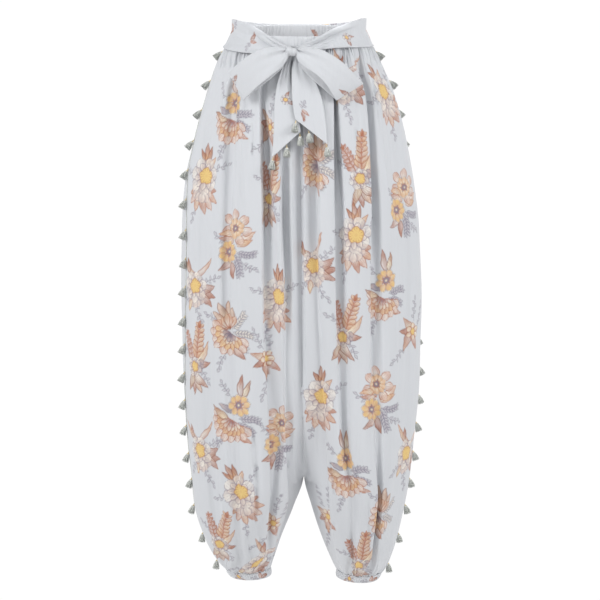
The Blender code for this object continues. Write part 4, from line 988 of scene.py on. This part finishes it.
def hung(side, points):
    """Points let down towards the outer side near the cuff, which hangs at a slant."""
    centre = column(SECTIONS, "centre", points[..., 2])
    share = (points[..., 0] - centre) / (column(SECTIONS, side, points[..., 2]) - centre)
    drop = CUFF_DROP[side] * share * eased((CUFF_SEAM + SLANT_REACH - points[..., 2]) / SLANT_REACH)
    return points - np.stack([np.zeros_like(drop), np.zeros_like(drop), drop], axis=-1)


def seam_width(panel):
    """How wide a panel's cloth is, measured over its folds."""
    arc, height, _ = fold_lines(panel, np.array([MIDWAY]))
    return np.hypot(np.diff(arc[0]), np.diff(height[0])).sum()


def make_leg_panel(panel, cloth):
    face, side = panel.split("_")
    rows = PLAIN * round((WAIST_SEAM - CUFF_SEAM) / GRAIN_DOWN / PLAIN)
    columns = PLAIN * round(seam_width(panel) / GRAIN_ACROSS / PLAIN)
    z = np.linspace(WAIST_SEAM, CUFF_SEAM, rows + 1)
    place = np.linspace(0, 1, columns + 1)
    flat = leg_cloth(panel, z, place)
    below = z < CROTCH
    flat[below, 0, 1] = 0.0
    flat[~below, 0, 0] = column(SECTIONS, "centre", z)[~below]
    grid = np.concatenate([flat, np.broadcast_to(z[:, None, None], (*flat.shape[:2], 1))], axis=2)
    grid = hung(side, grid)
    u, v = cloth_measure(grid)
    colour = ground_colour(grid)
    outward = -1 if face == "front" else 1
    sign = (-1 if side == "left" else 1) * -outward
    for number, bunch in enumerate(BUNCHES[panel]):
        away = np.abs(grid[..., 0] - bunch.x) + np.abs(grid[..., 2] - bunch.z)
        away = away - outward * grid[..., 1] * 0.2
        i, j = np.unravel_index(np.argmin(away), away.shape)
        seed = UNEVEN_STEP * number
        paint_bunch(colour, u, v, i, j, bunch.kind, bunch.turn, seed, sign, BUNCH_SIZE)
    gathers = (z > WAIST_SEAM - FINE_AT_WAIST) | (z < CUFF_SEAM + FINE_AT_CUFF)
    piece = woven_mesh("cloth_" + panel, grid, colour, cloth, gathers)
    stand_in(piece, panel)


# ---------------------------------------------------------------- meshes
def add_mesh(name, points, faces, cloth, colour=None):
    mesh = bpy.data.meshes.new(name)
    mesh.from_pydata((np.asarray(points, float) * MM).tolist(), [], faces)
    mesh.update()
    if colour is not None:
        attribute = mesh.color_attributes.new("print", "FLOAT_COLOR", "POINT")
        rgba = np.concatenate([colour.reshape(-1, 3), np.ones((len(points), 1))], axis=1)
        attribute.data.foreach_set("color", rgba.astype(np.float32).ravel())
    mesh.shade_smooth()
    mesh.materials.append(cloth)
    piece = bpy.data.objects.new(name, mesh)
    bpy.context.scene.collection.objects.link(piece)
    return piece


def woven_mesh(name, grid, colour, cloth, gathers):
    """A sheet from a fine grid of points, with small faces only where it is printed and in gathered rows."""
    rows, columns = grid.shape[:2]
    number = np.arange(rows * columns).reshape(rows, columns)
    inked = (np.abs(colour - linear(GROUND)).sum(2) > INKED) | gathers[:, None]
    cells_down, cells_across = (rows - 1) // PLAIN, (columns - 1) // PLAIN
    fine = np.zeros((cells_down, cells_across), bool)
    for a in range(PLAIN + 1):
        for b in range(PLAIN + 1):
            fine |= inked[a:a + rows - 1:PLAIN, b:b + columns - 1:PLAIN][:cells_down, :cells_across]
    faces = []
    top, left = (index * PLAIN for index in np.nonzero(fine))
    for a in range(PLAIN):
        for b in range(PLAIN):
            i, j = top + a, left + b
            faces += quads_from(number, i, j, 1)
    ringed = np.pad(fine, 1)
    beside = ringed[:-2, 1:-1] | ringed[2:, 1:-1] | ringed[1:-1, :-2] | ringed[1:-1, 2:]
    i, j = (index * PLAIN for index in np.nonzero(~fine & ~beside))
    faces += quads_from(number, i, j, PLAIN)
    for cell_i, cell_j in zip(*np.nonzero(~fine & beside)):
        faces.append(bordered_cell(number, ringed, cell_i, cell_j))
    used = np.unique(np.concatenate([np.ravel(face) for face in faces]))
    renumbered = np.full(rows * columns, -1)
    renumbered[used] = np.arange(len(used))
    faces = [renumbered[face].tolist() for face in faces]
    return add_mesh(name, grid.reshape(-1, 3)[used], faces, cloth, colour.reshape(-1, 3)[used])


# The sides of a large face in turn: the step along each, and the cell beside it, counted in the ringed grid.
CELL_SIDES = ((1, 0), (0, 1), (-1, 0), (0, -1))
NEIGHBOURS = ((1, 0), (2, 1), (1, 2), (0, 1))


def quads_from(number, i, j, size):
    """Square faces of a grid of point numbers, `size` steps wide, from corners at rows i and columns j."""
    corners = (number[i, j], number[i + size, j], number[i + size, j + size], number[i, j + size])
    return np.stack(corners, axis=1).tolist()


def bordered_cell(number, ringed, cell_i, cell_j):
    """A large face, with the extra corners that it shares with small faces beside it."""
    i, j = cell_i * PLAIN, cell_j * PLAIN
    face = []
    for (beside_i, beside_j), (down, across) in zip(NEIGHBOURS, CELL_SIDES):
        steps = PLAIN if ringed[cell_i + beside_i, cell_j + beside_j] else 1
        face += [number[i + down * k, j + across * k] for k in range(steps)]
        i, j = i + down * PLAIN, j + across * PLAIN
    return np.array(face)


def grid_faces(number):
    """Quads between the rows of a grid of point numbers."""
    corners = (number[:-1, :-1], number[1:, :-1], number[1:, 1:], number[:-1, 1:])
    return np.stack(corners, axis=-1).reshape(-1, 4)


def closed_tube_faces(rows, sides):
    """Faces of a tube of rings of points, closed at both ends."""
    number = np.arange(rows * sides).reshape(rows, sides)
    ring = np.concatenate([number, number[:, :1]], axis=1)
    return grid_faces(ring).tolist() + [number[0, ::-1].tolist(), number[-1].tolist()]


def shell(name, outer, inner, colour, cloth, ring=False):
    """A closed thin shell between two faces, each a grid of points. A ring's rows close on themselves."""
    rows, columns = outer.shape[:2]
    front = np.arange(rows * columns).reshape(rows, columns)
    if ring:
        front = np.concatenate([front, front[:, :1]], axis=1)
    back = front + rows * columns
    rims = [np.stack([back[0], front[0]]), np.stack([front[-1], back[-1]])]
    if not ring:
        rims += [np.stack([front[:, 0], back[:, 0]]), np.stack([back[:, -1], front[:, -1]])]
    faces = [grid_faces(front), grid_faces(back)[:, ::-1]] + [grid_faces(rim) for rim in rims]
    points = np.concatenate([outer.reshape(-1, 3), inner.reshape(-1, 3)])
    both = np.concatenate([colour.reshape(-1, 3)] * 2)
    return add_mesh(name, points, np.concatenate(faces).tolist(), cloth, both)


def sheet_shell(name, grid, thickness, colour, cloth):
    normal = np.cross(np.gradient(grid, axis=1), np.gradient(grid, axis=0))
    offset = normal / np.linalg.norm(normal, axis=2, keepdims=True) * thickness / 2
    return shell(name, grid + offset, grid - offset, colour, cloth)


def stand_in(piece, node):
    """The piece rides on the part's one body and is shown in place of a solid."""
    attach(piece, "root")
    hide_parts(node)


def make_ribbon(node, grid, colour, cloth):
    """A stretch of the sash round the middle of its cloth."""
    piece = sheet_shell("cloth_" + node, grid, SASH_CLOTH, colour, cloth)
    stand_in(piece, node)


# ---------------------------------------------------------------- waistband and cuffs
def oval(half, front, back, angle):
    """A point on the oval of a band, at an angle in radians from the front towards the right."""
    return half * np.sin(angle), -np.where(np.cos(angle) > 0, front, back) * np.cos(angle)


def band_top(angle):
    return BAND_TOP_SIDE - BAND_TOP_DIP * np.cos(angle)


def round_waist(z, angle, out):
    """Points round the waist at heights z, `out` from the outline of the band or, below it, of the legs."""
    up = np.clip((z - WAIST_SEAM) / (band_top(angle) - WAIST_SEAM), 0, 1)
    below = np.minimum(z, WAIST_SEAM)
    left, right = column(SECTIONS, "left", below), column(SECTIONS, "right", below)
    half = (right - left) / 2
    half = half + (BAND_TOP_HALF - half) * up
    front, back = column(SECTIONS, "front", below), column(SECTIONS, "back", below)
    front, back = front + (BAND_TOP_FRONT - front) * up, back + (BAND_TOP_BACK - back) * up
    x, y = oval(half + out, front + out, back + out, angle)
    return np.stack([x + (left + right) / 2, y, z], axis=-1)


def band_wave(angle, count, share):
    """Gathers of an elastic band: uneven in width and depth, and shallower towards its edges."""
    phase = count * angle + 1.1 * np.sin(5 * angle + 0.6) + 0.8 * np.sin(11 * angle + 2)
    uneven = 0.7 + 0.3 * np.sin(7 * angle + 1)
    valley = np.exp(-(np.sin(phase / 2) / 0.5) ** 2)
    return (0.5 - 1.5 * valley) * uneven * (1 - np.abs(2 * share - 1) ** 6)


def casing_rows(steps):
    """(share of the way down or up, how far both faces bulge there) for each row of points of a casing."""
    for share in np.linspace(0, 1, steps):
        yield share, CASING_ROUND * np.sqrt(max(0.0, 1 - (2 * share - 1) ** 4))


def make_casing(node, faces, spots, cloth):
    """A band of cloth folded over its elastic, from rows of points of its outer and its inner face."""
    outer, inner = np.array(faces["outer"]), np.array(faces["inner"])
    piece = shell("cloth_" + node, outer, inner, spotted(outer, spots), cloth, ring=True)
    stand_in(piece, node)


def make_waistband(cloth):
    angle = np.linspace(0, 2 * np.pi, POINTS_TO_A_GATHER * BAND_GATHERS, endpoint=False)
    base = WAIST_SEAM + SEAM_GAP
    faces = {"outer": [], "inner": []}
    for share, rounding in casing_rows(BAND_STEPS):
        z = base + (band_top(angle) - base) * share
        wave = BAND_WAVE * band_wave(angle, BAND_GATHERS, share)
        for name, out in (("outer", wave + rounding), ("inner", -wave - CASING - rounding)):
            faces[name].append(round_waist(z, angle, out - BAND_INSET - CASING_INSET))
    make_casing("waistband", faces, SPOTS["waistband"],
                cloth)


def inner_share(side):
    """How far out the inseam is at the cuff, as a share of the way from the centre line to the outer side."""
    foot = SECTIONS[-1]
    return foot.gap / abs(getattr(foot, side) - foot.centre)


def make_cuff(side, cloth):
    foot = SECTIONS[-1]
    sign = -1 if side == "left" else 1
    edge, inner_edge = getattr(foot, side), foot.centre + sign * foot.gap
    middle, half = (edge + inner_edge) / 2, abs(edge - inner_edge) / 2
    angle = np.linspace(0, 2 * np.pi, POINTS_TO_A_GATHER * CUFF_BAND_GATHERS, endpoint=False)
    places, shrinks, shifts = np.array(CUFF_ROWS).T
    faces = {"outer": [], "inner": []}
    for share, rounding in casing_rows(CUFF_STEPS):
        shrink, shift = through(places, shrinks, share), through(places, shifts, share)
        z = CUFF_SEAM - SEAM_GAP + (HEM - CUFF_SEAM + SEAM_GAP) * share
        wave = CUFF_WAVE * band_wave(angle, CUFF_BAND_GATHERS, share)
        for name, inset in (("outer", -rounding), ("inner", CASING + rounding)):
            out = wave - shrink - inset - CASING_INSET
            x, y = oval(half + out, foot.front + out, foot.back + out, angle)
            across = (x * sign + half) / (2 * half)
            drop = CUFF_DROP[side] * (inner_share(side) + (1 - inner_share(side)) * across)
            faces[name].append(np.stack([middle + x - sign * shift, y, z - drop], axis=1))
    make_casing("cuff_" + side, faces, SPOTS["cuff"], cloth)


# ---------------------------------------------------------------- sash
def sash_creased(angles, row):
    """How deep the sash's creases are along one of its rows."""
    depth = np.zeros_like(angles)
    for crease in SASH_CREASES:
        along = (angles - crease.angle) / (crease.angle_end - crease.angle)
        fade = eased(along / 0.1 + 0.5) * eased((1 - along) / 0.5)
        off = row - (crease.row + (crease.row_end - crease.row) * np.clip(along, 0, 1))
        depth += crease.depth * fade * furrow(off, crease, SASH_SHARP_EDGE)
    return depth


def make_sash(cloth):
    table = np.array(SASH_PLACES[::-1], float)
    angles = np.linspace(table[0, 0], table[-1, 0], SASH_POINTS)
    top, bottom, off, crease = (through(table[:, 0], table[:, k], angles) for k in range(1, 5))
    grid = []
    from_knot = np.minimum(angles - table[0, 0], table[-1, 0] - angles)
    for share in np.linspace(0, 1, SASH_ROWS):
        z = top + (bottom - top) * share
        over_gathers = SASH_OVER_GATHERS * eased((WAIST_SEAM + OVER_FROM - z) / OVER_WITHIN)
        # pleats that spread from the knot and die away, over slower ones that wander all the way round
        fan = 0.9 * sine(2.6 * share + 0.15) * np.exp(-from_knot / 26)
        fan += 0.5 * sine(1.4 * share + angles / 75) * (0.3 + 0.7 * np.exp(-from_knot / 60))
        fan -= sash_creased(angles, share)
        out = off + np.sin(3 * np.pi * share) * crease + over_gathers + fan
        grid.append(round_waist(z, np.radians(angles), out))
    grid = np.array(grid)
    make_ribbon("sash_band", grid, spotted(grid, SPOTS["sash_band"], -1), cloth)


def make_knot(cloth):
    """The knot: a band of cloth, pleated along its length, wrapped round the bow's middle."""
    turns = np.linspace(0, 2 * np.pi, KNOT_SIDES, endpoint=False)
    points = []
    for lift in np.radians(np.linspace(-KNOT_END, KNOT_END, KNOT_RINGS)):
        # coarse and fine pleats that run round the band and wander, on a form that isn't quite round
        pleat = 1 + 0.09 * np.cos(5.5 * lift + 1.2 * np.sin(turns + 0.4))
        pleat += 0.04 * np.sin(13 * lift + 2 * turns)
        radius = np.cos(lift) ** 0.7 * pleat * (1 + 0.10 * np.sin(2 * turns + 2.0 * lift))
        x = np.sin(lift) * KNOT_SIZE[0] - 2.4 * np.sin(turns) * np.cos(lift)
        y, z = -np.cos(turns) * radius * KNOT_SIZE[1], np.sin(turns) * radius * KNOT_SIZE[2]
        points.append(np.stack([x, y, z], axis=1))
    grid = np.array(points) + KNOT_CENTRE
    faces = closed_tube_faces(*grid.shape[:2])
    piece = add_mesh("cloth_sash_knot", grid.reshape(-1, 3), faces, cloth, ground_colour(grid))
    stand_in(piece, "sash_knot")


def make_loop(name, loop, cloth):
    """A loop of the bow: a ribbon that runs out from the knot, turns over and comes back in front."""
    root, end = np.array(loop.root, float), np.array(loop.end, float)
    reach = np.linalg.norm((end - root)[[0, 2]])
    ahead = (end - root) / reach
    upright = np.array([-ahead[2], 0.0, ahead[0]]) * np.sign(ahead[0])
    level = np.array([ahead[0], 0.0, ahead[2]])
    steps = np.linspace(0, 1, len(FORWARD_STEPS))
    along = np.linspace(0, 1, LOOP_POINTS)
    out = through(steps, np.array(OUT_STEPS + OUT_STEPS[-2::-1]), along)
    forward = through(steps, np.array(FORWARD_STEPS), along)
    places, shares = np.array((LoopWidth(0, LOOP_ROOT_WIDTH / loop.width), *LOOP_WIDTHS)).T
    width = loop.width * through(places, shares, out)
    behind = 1 - eased(forward / 0.3)
    turn = (loop.tilt * out)[:, None]
    across = upright * np.cos(turn) + level * np.sin(turn)
    grid = []
    for share in np.linspace(-0.5, 0.5, LOOP_ROWS):
        below = loop.sag * behind * np.sin(np.pi * out) * (0.5 - share)
        slim = loop.slim * forward * np.sin(np.pi * out) * (share < 0)
        aside = share * width * (1 - slim) + loop.arch * np.sin(np.pi * out) - below
        points = root + ahead * (out * reach)[:, None] + across * aside[:, None]
        # two pleats at the knot, then finer creases that run out from them and soften towards the end
        pleat = LOOP_PLEAT * np.clip(1 - out / PLEAT_REACH, 0, 1) * np.cos(4 * np.pi * share)
        crease = 0.9 * np.exp(-out / 0.45) * np.cos(2 * np.pi * (3.1 * share + 0.2 + 0.5 * along))
        crease += 0.8 * np.sin(np.pi * (share + 0.5)) * np.sin(5 * out + 2 * share)
        points[:, 1] += pleat + crease - LOOP_RISE * np.sin(np.pi * out) - forward * loop.spread
        grid.append(points)
    grid = np.array(grid)
    make_ribbon(name, grid, spotted(grid, SPOTS[name]), cloth)


def front_of_legs(x, z):
    """How far forward (y) the folds of the legs stand at (x, z)."""
    below = np.minimum(z, WAIST_SEAM)
    front, half = column(SECTIONS, "front", below), column(SECTIONS, "right", below)
    return -front * np.sqrt(np.clip(1 - (x / half) ** 2, 0, 1)) - FOLDS_STAND


def tail_grid(tail, points, rows):
    """Rows of points of a tail, each from the knot to its slanted end, the outer edge's first."""
    down = np.linspace(0, 1, points)
    knots = np.linspace(0, 1, len(tail.outer))
    outer = through(knots, np.array(tail.outer, float).T, down).T
    inner = through(knots, np.array(tail.inner, float).T, down).T
    grid = []
    for share in np.linspace(0, 1, rows):
        xz = outer + (inner - outer) * share
        legs = np.minimum(front_of_legs(xz[:, 0], xz[:, 1]), -LEAST_FORWARD)
        y = legs - tail.clear - TAIL_FORWARD * down
        # a ripple, pleats that die away from the knot, and an inner edge that stands further forward
        y -= TAIL_RIPPLE * np.cos(3 * np.pi * share) * np.sin(np.pi * down)
        y -= 1.2 * np.cos(2 * np.pi * (2.4 * share + 0.1)) * np.exp(-down / 0.35)
        y -= (tail.clear - LEAST_CLEAR) * share**4 * np.sin(np.pi * down)
        grid.append(np.stack([xz[:, 0], y, xz[:, 1]], axis=1))
    return np.array(grid)


def make_tail(name, tail, cloth):
    grid = tail_grid(tail, TAIL_POINTS, TAIL_ROWS)
    make_ribbon(name, grid, spotted(grid, SPOTS[name]), cloth)


# ---------------------------------------------------------------- tassels
def tube(path, radii, sides):
    """(points, faces) of a tube along a path, closed at both ends. radii: one for each point, or for all."""
    path = np.asarray(path, float)
    ahead = np.gradient(path, axis=0)
    ahead /= np.linalg.norm(ahead, axis=1, keepdims=True)
    side = np.array([1.0, 0, 0]) if abs(ahead[0, 0]) < 0.8 else np.array([0, 1.0, 0])
    across = []
    for way in ahead:
        side = side - way * np.dot(side, way)
        side = side / np.linalg.norm(side)
        across.append(side)
    across = np.array(across)
    third = np.cross(ahead, across)
    turns = np.arange(sides) * 2 * np.pi / sides
    rings = path[:, None] + (across[:, None] * np.cos(turns)[None, :, None]
                             + third[:, None] * np.sin(turns)[None, :, None]) * np.reshape(radii, (-1, 1, 1))
    return rings.reshape(-1, 3), closed_tube_faces(len(path), sides)


class Pile:
    """Many small meshes gathered into one."""

    def __init__(self):
        self.points, self.faces, self.count = [], [], 0

    def add(self, points, faces):
        self.points.append(points)
        self.faces += [[v + self.count for v in face] for face in faces]
        self.count += len(points)

    def mesh(self, name, material):
        return add_mesh(name, np.concatenate(self.points), self.faces, material)


def add_tassel(yarn, thread, root, axis, random):
    """A tassel that hangs from root along axis: a thread, a bound head, and a skirt of strands."""
    axis = axis / np.linalg.norm(axis)
    across = np.cross(axis, (0.0, 1.0, 0.0) if abs(axis[1]) < 0.9 else (1.0, 0.0, 0.0))
    across /= np.linalg.norm(across)
    third = np.cross(axis, across)

    def spot(distance, radius, turn):
        return root + axis * distance + (across * np.cos(turn) + third * np.sin(turn)) * radius

    for ply in (0, np.pi):
        path = [spot(d, PLY_OFF, PLY_TWIST * d + ply) for d in np.linspace(0.2, THREAD_LENGTH, 9)]
        thread.add(*tube(path, THREAD_RADIUS, THREAD_SIDES))
    yarn.add(*tube([spot(ring.down, 0, 0) for ring in HEAD], [ring.radius for ring in HEAD], HEAD_SIDES))
    for ring in BINDINGS:
        path = [spot(ring.down, ring.radius, turn) for turn in np.linspace(0, 2 * np.pi, HEAD_SIDES + 1)]
        thread.add(*tube(path, BINDING_RADIUS, THREAD_SIDES))
    sag = np.array([0.0, 0.0, -STRAND_SAG])
    for k in range(STRANDS):
        turn = 2 * np.pi * (k * GOLDEN_TURN)
        spread = np.sqrt((k + 0.5) / STRANDS) * (0.93 + 0.07 * random.random())
        length = TASSEL_LENGTH * (0.94 + 0.06 * random.random()) - 0.7
        path = []
        for t in STRAND_STEPS:
            d = STRANDS_START + (length - STRANDS_START) * t
            r = spread * (NECK_RADIUS + SKIRT_SPREAD * (1 - (1 - t) ** 2))
            path.append(spot(d, r, turn + 0.2 * np.sin(4 * t + k)) + sag * t * t)
        yarn.add(*tube(path, [STRAND_RADIUS * share for share in STRAND_SHAPE], STRAND_SIDES))


def seam_line(side, z):
    """(points, outward, downward) along a side seam at heights z."""
    outline = Outline(side, z)
    spots, normals = (found[:, 0] for found in outline.along(outline.seam))
    points = hung(side, np.concatenate([spots, z[:, None]], axis=1))
    down = np.gradient(points, axis=0)
    down /= np.linalg.norm(down, axis=1, keepdims=True)
    return points, np.concatenate([normals, np.zeros((len(z), 1))], axis=1), down


def tassel_swing(i):
    """How many degrees further out a tassel swings: least under the sash, then unevenly."""
    return SWING + SWING * np.sin(2.4 * i + 0.7) - (UNDER_SASH if i == 0 else 0)


def make_trim(side, yarn_material, thread_material):
    """A twisted cord of two plies over a side seam, and the tassels that hang from it."""
    z = np.linspace(CORD_TOP, CUFF_SEAM, CORD_POINTS)
    points, outward, down = seam_line(side, z)
    random = np.random.default_rng(TASSEL_SEEDS[side])
    yarn, thread, cord = Pile(), Pile(), Pile()
    steps = np.linalg.norm(np.diff(points, axis=0), axis=1)
    turns = np.cumsum(np.concatenate([[0], steps])) * 2 * np.pi / CORD_LAY
    across = np.cross(outward, down)
    for ply in (0, np.pi):
        round_it = across * np.cos(turns + ply)[:, None] + outward * np.sin(turns + ply)[:, None]
        strand = points + outward * CORD_PLY + round_it * (0.9 * CORD_PLY)
        cord.add(*tube(strand, CORD_PLY, CORD_SIDES))
    for i in range(SEAM_TASSELS):
        at = np.interp(-(FIRST_TASSEL - TASSEL_STEP * i), -z, np.arange(len(z)))
        line, out, way = (rows[int(at)] for rows in (points, outward, down))
        outwards = out - way * np.dot(out, way)
        outwards /= np.linalg.norm(outwards)
        hanging = outwards * outwards[2] - np.array([0.0, 0.0, 1.0])
        hanging /= np.linalg.norm(hanging)
        slant = np.degrees(np.arcsin(-outwards[2]))
        lean = np.radians(max(TASSEL_LEAN, LEAST_HANG + slant) + tassel_swing(i))
        axis = hanging * np.cos(lean) + outwards * np.sin(lean)
        add_tassel(yarn, thread, line + outwards * (TAPE_DEPTH / 2 - ROOT_IN_TAPE), axis, random)
    tassels = yarn.mesh("tassels_" + side, yarn_material)
    stand_in(tassels, "trim_" + side)
    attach(thread.mesh("tassel_thread_" + side, thread_material), "root")
    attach(cord.mesh("seam_cord_" + side, yarn_material), "root")


def make_tail_tassels(name, tail, yarn_material, thread_material):
    """Tassels under the slanted end of a tail."""
    edge = tail_grid(tail, points=11, rows=5)[:, -1]
    random = np.random.default_rng(len(name))
    thread = Pile()
    for number, (share, right, back) in enumerate(tail.tassels, 1):
        at = share * (len(edge) - 1)
        spot = np.array([np.interp(at, np.arange(len(edge)), edge[:, k]) for k in range(3)])
        yarn = Pile()
        root = spot - np.array([0, 0, TAIL_TASSEL_DROP])
        add_tassel(yarn, thread, root, np.array([right, back, -1.0]), random)
        piece = yarn.mesh(f"{name}_skirt_{number}", yarn_material)
        stand_in(piece, f"{name}_tassel_{number}")
    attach(thread.mesh(name + "_thread", thread_material), "root")


# ---------------------------------------------------------------- materials
def set_inputs(node, values):
    """Sets a node's inputs, which are named with underscores for spaces, and returns the node."""
    for name, value in values.items():
        node.inputs[name.replace("_", " ")].default_value = value
    return node


def shader_of(name, **values):
    """(material, add, join, shader) of a new material: add() makes a node, and join() links two."""
    material = bpy.data.materials.new(name)
    material.use_nodes = True
    nodes, links = material.node_tree.nodes, material.node_tree.links

    def add(kind, **inputs):
        return set_inputs(nodes.new("ShaderNode" + kind), inputs)

    def join(node, output, target, socket):
        links.new(node.outputs[output], target.inputs[socket])

    return material, add, join, set_inputs(nodes["Principled BSDF"], values)


def cloth_material():
    """Thin plain-woven cloth: the print comes from the mesh, its slubs and its crumples from bumps."""
    material, add, join, shader = shader_of("printed_cloth", Roughness=0.82, Sheen_Weight=0.25,
                                            Sheen_Roughness=0.45, Specular_IOR_Level=0.25)
    ink = add("VertexColor")
    ink.layer_name = "print"
    join(ink, "Color", shader, "Base Color")
    place = add("TexCoord")
    slub = add("TexNoise", Scale=900.0, Detail=2.0)
    join(place, "Object", slub, "Vector")
    weave = add("Bump", Strength=0.12, Distance=0.0004)
    join(slub, "Fac", weave, "Height")
    down = add("Mapping", Scale=(1.0, 1.0, 0.09))
    join(place, "Object", down, "Vector")
    crinkle = add("TexNoise", Scale=95.0, Detail=3.0, Distortion=0.6)
    join(down, "Vector", crinkle, "Vector")
    crumple = add("Bump", Strength=0.5, Distance=0.003)
    join(crinkle, "Fac", crumple, "Height")
    join(crumple, "Normal", weave, "Normal")
    join(weave, "Normal", shader, "Normal")
    return material


def two_toned(name, grain, dark, light, **values):
    """A material whose colour wanders between a dark and a light tone."""
    material, add, join, shader = shader_of(name, **values)
    noise = add("TexNoise", Scale=grain)
    join(add("TexCoord"), "Object", noise, "Vector")
    ramp = add("ValToRGB")
    for element, tone in zip(ramp.color_ramp.elements, (dark, light)):
        element.color = (*linear(tone), 1)
    join(noise, "Fac", ramp, "Fac")
    join(ramp, "Color", shader, "Base Color")
    return material


def yarn_material():
    return two_toned("tassel_yarn", 420.0, (0.73, 0.74, 0.72), (0.86, 0.865, 0.84),
                     Roughness=0.9, Sheen_Weight=0.3)


def thread_material():
    return two_toned("gold_thread", 800.0, (0.78, 0.68, 0.46), (0.93, 0.87, 0.70),
                     Roughness=0.45, Metallic=0.35)


# ---------------------------------------------------------------- stage
CAMERA_BACK, CAMERA_PITCH = 2.7, 9.83
CAMERA_LENS, SENSOR = 91.85, 36.0
FLOOR_Z, WALL_Y = -1.3, 4.0
FLOOR_HALF, WALL_HALF = 4000.0, 3500.0
AMBIENT, SKY = 0.45, (0.94, 0.97, 1.0)
Lamp = namedtuple("Lamp", "name place size power")
LAMPS = rows_of(
    Lamp,
    ("left", (-2.2, -1.45, 0.85), 1.1, 44.0),
    ("right", (2.2, -1.45, 0.8), 1.1, 39.0),
    ("top", (0.0, -1.9, 1.9), 1.2, 10.0),
    ("back", (0.5, 2.6, 0.9), 1.6, 27.0),
)
WAIST_LAMP = Lamp("inside", (0.0, -0.04, 0.09), 0.16, 0.11)  # for the waistband's far side
WAIST_LAMP_TILT = 62.0
LAMPS_AIM = (0.0, 0.0, -0.45)


def make_stage():
    scene = bpy.context.scene
    camera = bpy.data.cameras.new("camera")
    camera.sensor_width = SENSOR
    camera.lens = CAMERA_LENS
    eye = bpy.data.objects.new("camera", camera)
    eye.location = (0.0, -CAMERA_BACK, 0.0)
    eye.rotation_euler = (np.radians(90 - CAMERA_PITCH), 0.0, 0.0)
    scene.collection.objects.link(eye)
    scene.camera = eye

    world = bpy.data.worlds.new("studio")
    world.use_nodes = True
    set_inputs(world.node_tree.nodes["Background"], {"Color": (*SKY, 1), "Strength": AMBIENT})
    scene.world = world
    scene.view_settings.view_transform = "Standard"

    white = white_material()
    corners = np.array([(-1, -1, 0), (1, -1, 0), (1, 1, 0), (-1, 1, 0)]) * FLOOR_HALF
    floor = add_mesh("floor", corners, [(0, 1, 2, 3)], white)
    floor.location.z = FLOOR_Z
    corners = np.array([(-1, 0, -0.5), (1, 0, -0.5), (1, 0, 1), (-1, 0, 1)]) * WALL_HALF
    wall = add_mesh("wall", corners, [(0, 1, 2, 3)], white)
    wall.location.y = WALL_Y

    for lamp in LAMPS:
        add_light(lamp)
    inside = add_light(WAIST_LAMP)
    inside.rotation_euler = (np.radians(WAIST_LAMP_TILT), 0.0, 0.0)
    inside.visible_camera = False


def white_material():
    return shader_of("white_ground", Roughness=0.9, Base_Color=(0, 0, 0, 1), Specular_IOR_Level=0.0,
                     Emission_Color=(1, 1, 1, 1), Emission_Strength=1.02)[0]


def add_light(lamp):
    """A square lamp turned towards the middle of the trousers."""
    light = bpy.data.lights.new(lamp.name, "AREA")
    light.size = lamp.size
    light.energy = lamp.power
    stand = bpy.data.objects.new(lamp.name, light)
    stand.location = lamp.place
    aim = np.array(LAMPS_AIM) - lamp.place
    pitch = np.arctan2(np.hypot(aim[0], aim[1]), -aim[2])
    stand.rotation_euler = (pitch, 0.0, np.arctan2(-aim[0], aim[1]))
    bpy.context.scene.collection.objects.link(stand)
    return stand


# ---------------------------------------------------------------- all of it
make_stage()
CLOTH, YARN, THREAD = cloth_material(), yarn_material(), thread_material()
for panel_name in FOLDS:
    make_leg_panel(panel_name, CLOTH)
make_waistband(CLOTH)
make_sash(CLOTH)
make_knot(CLOTH)
for loop_name, loop_form in LOOPS.items():
    make_loop(loop_name, loop_form, CLOTH)
for tail_name, tail_form in TAILS.items():
    make_tail(tail_name, tail_form, CLOTH)
    make_tail_tassels(tail_name, tail_form, YARN, THREAD)
for side_name in ("left", "right"):
    make_cuff(side_name, CLOTH)
    make_trim(side_name, YARN, THREAD)
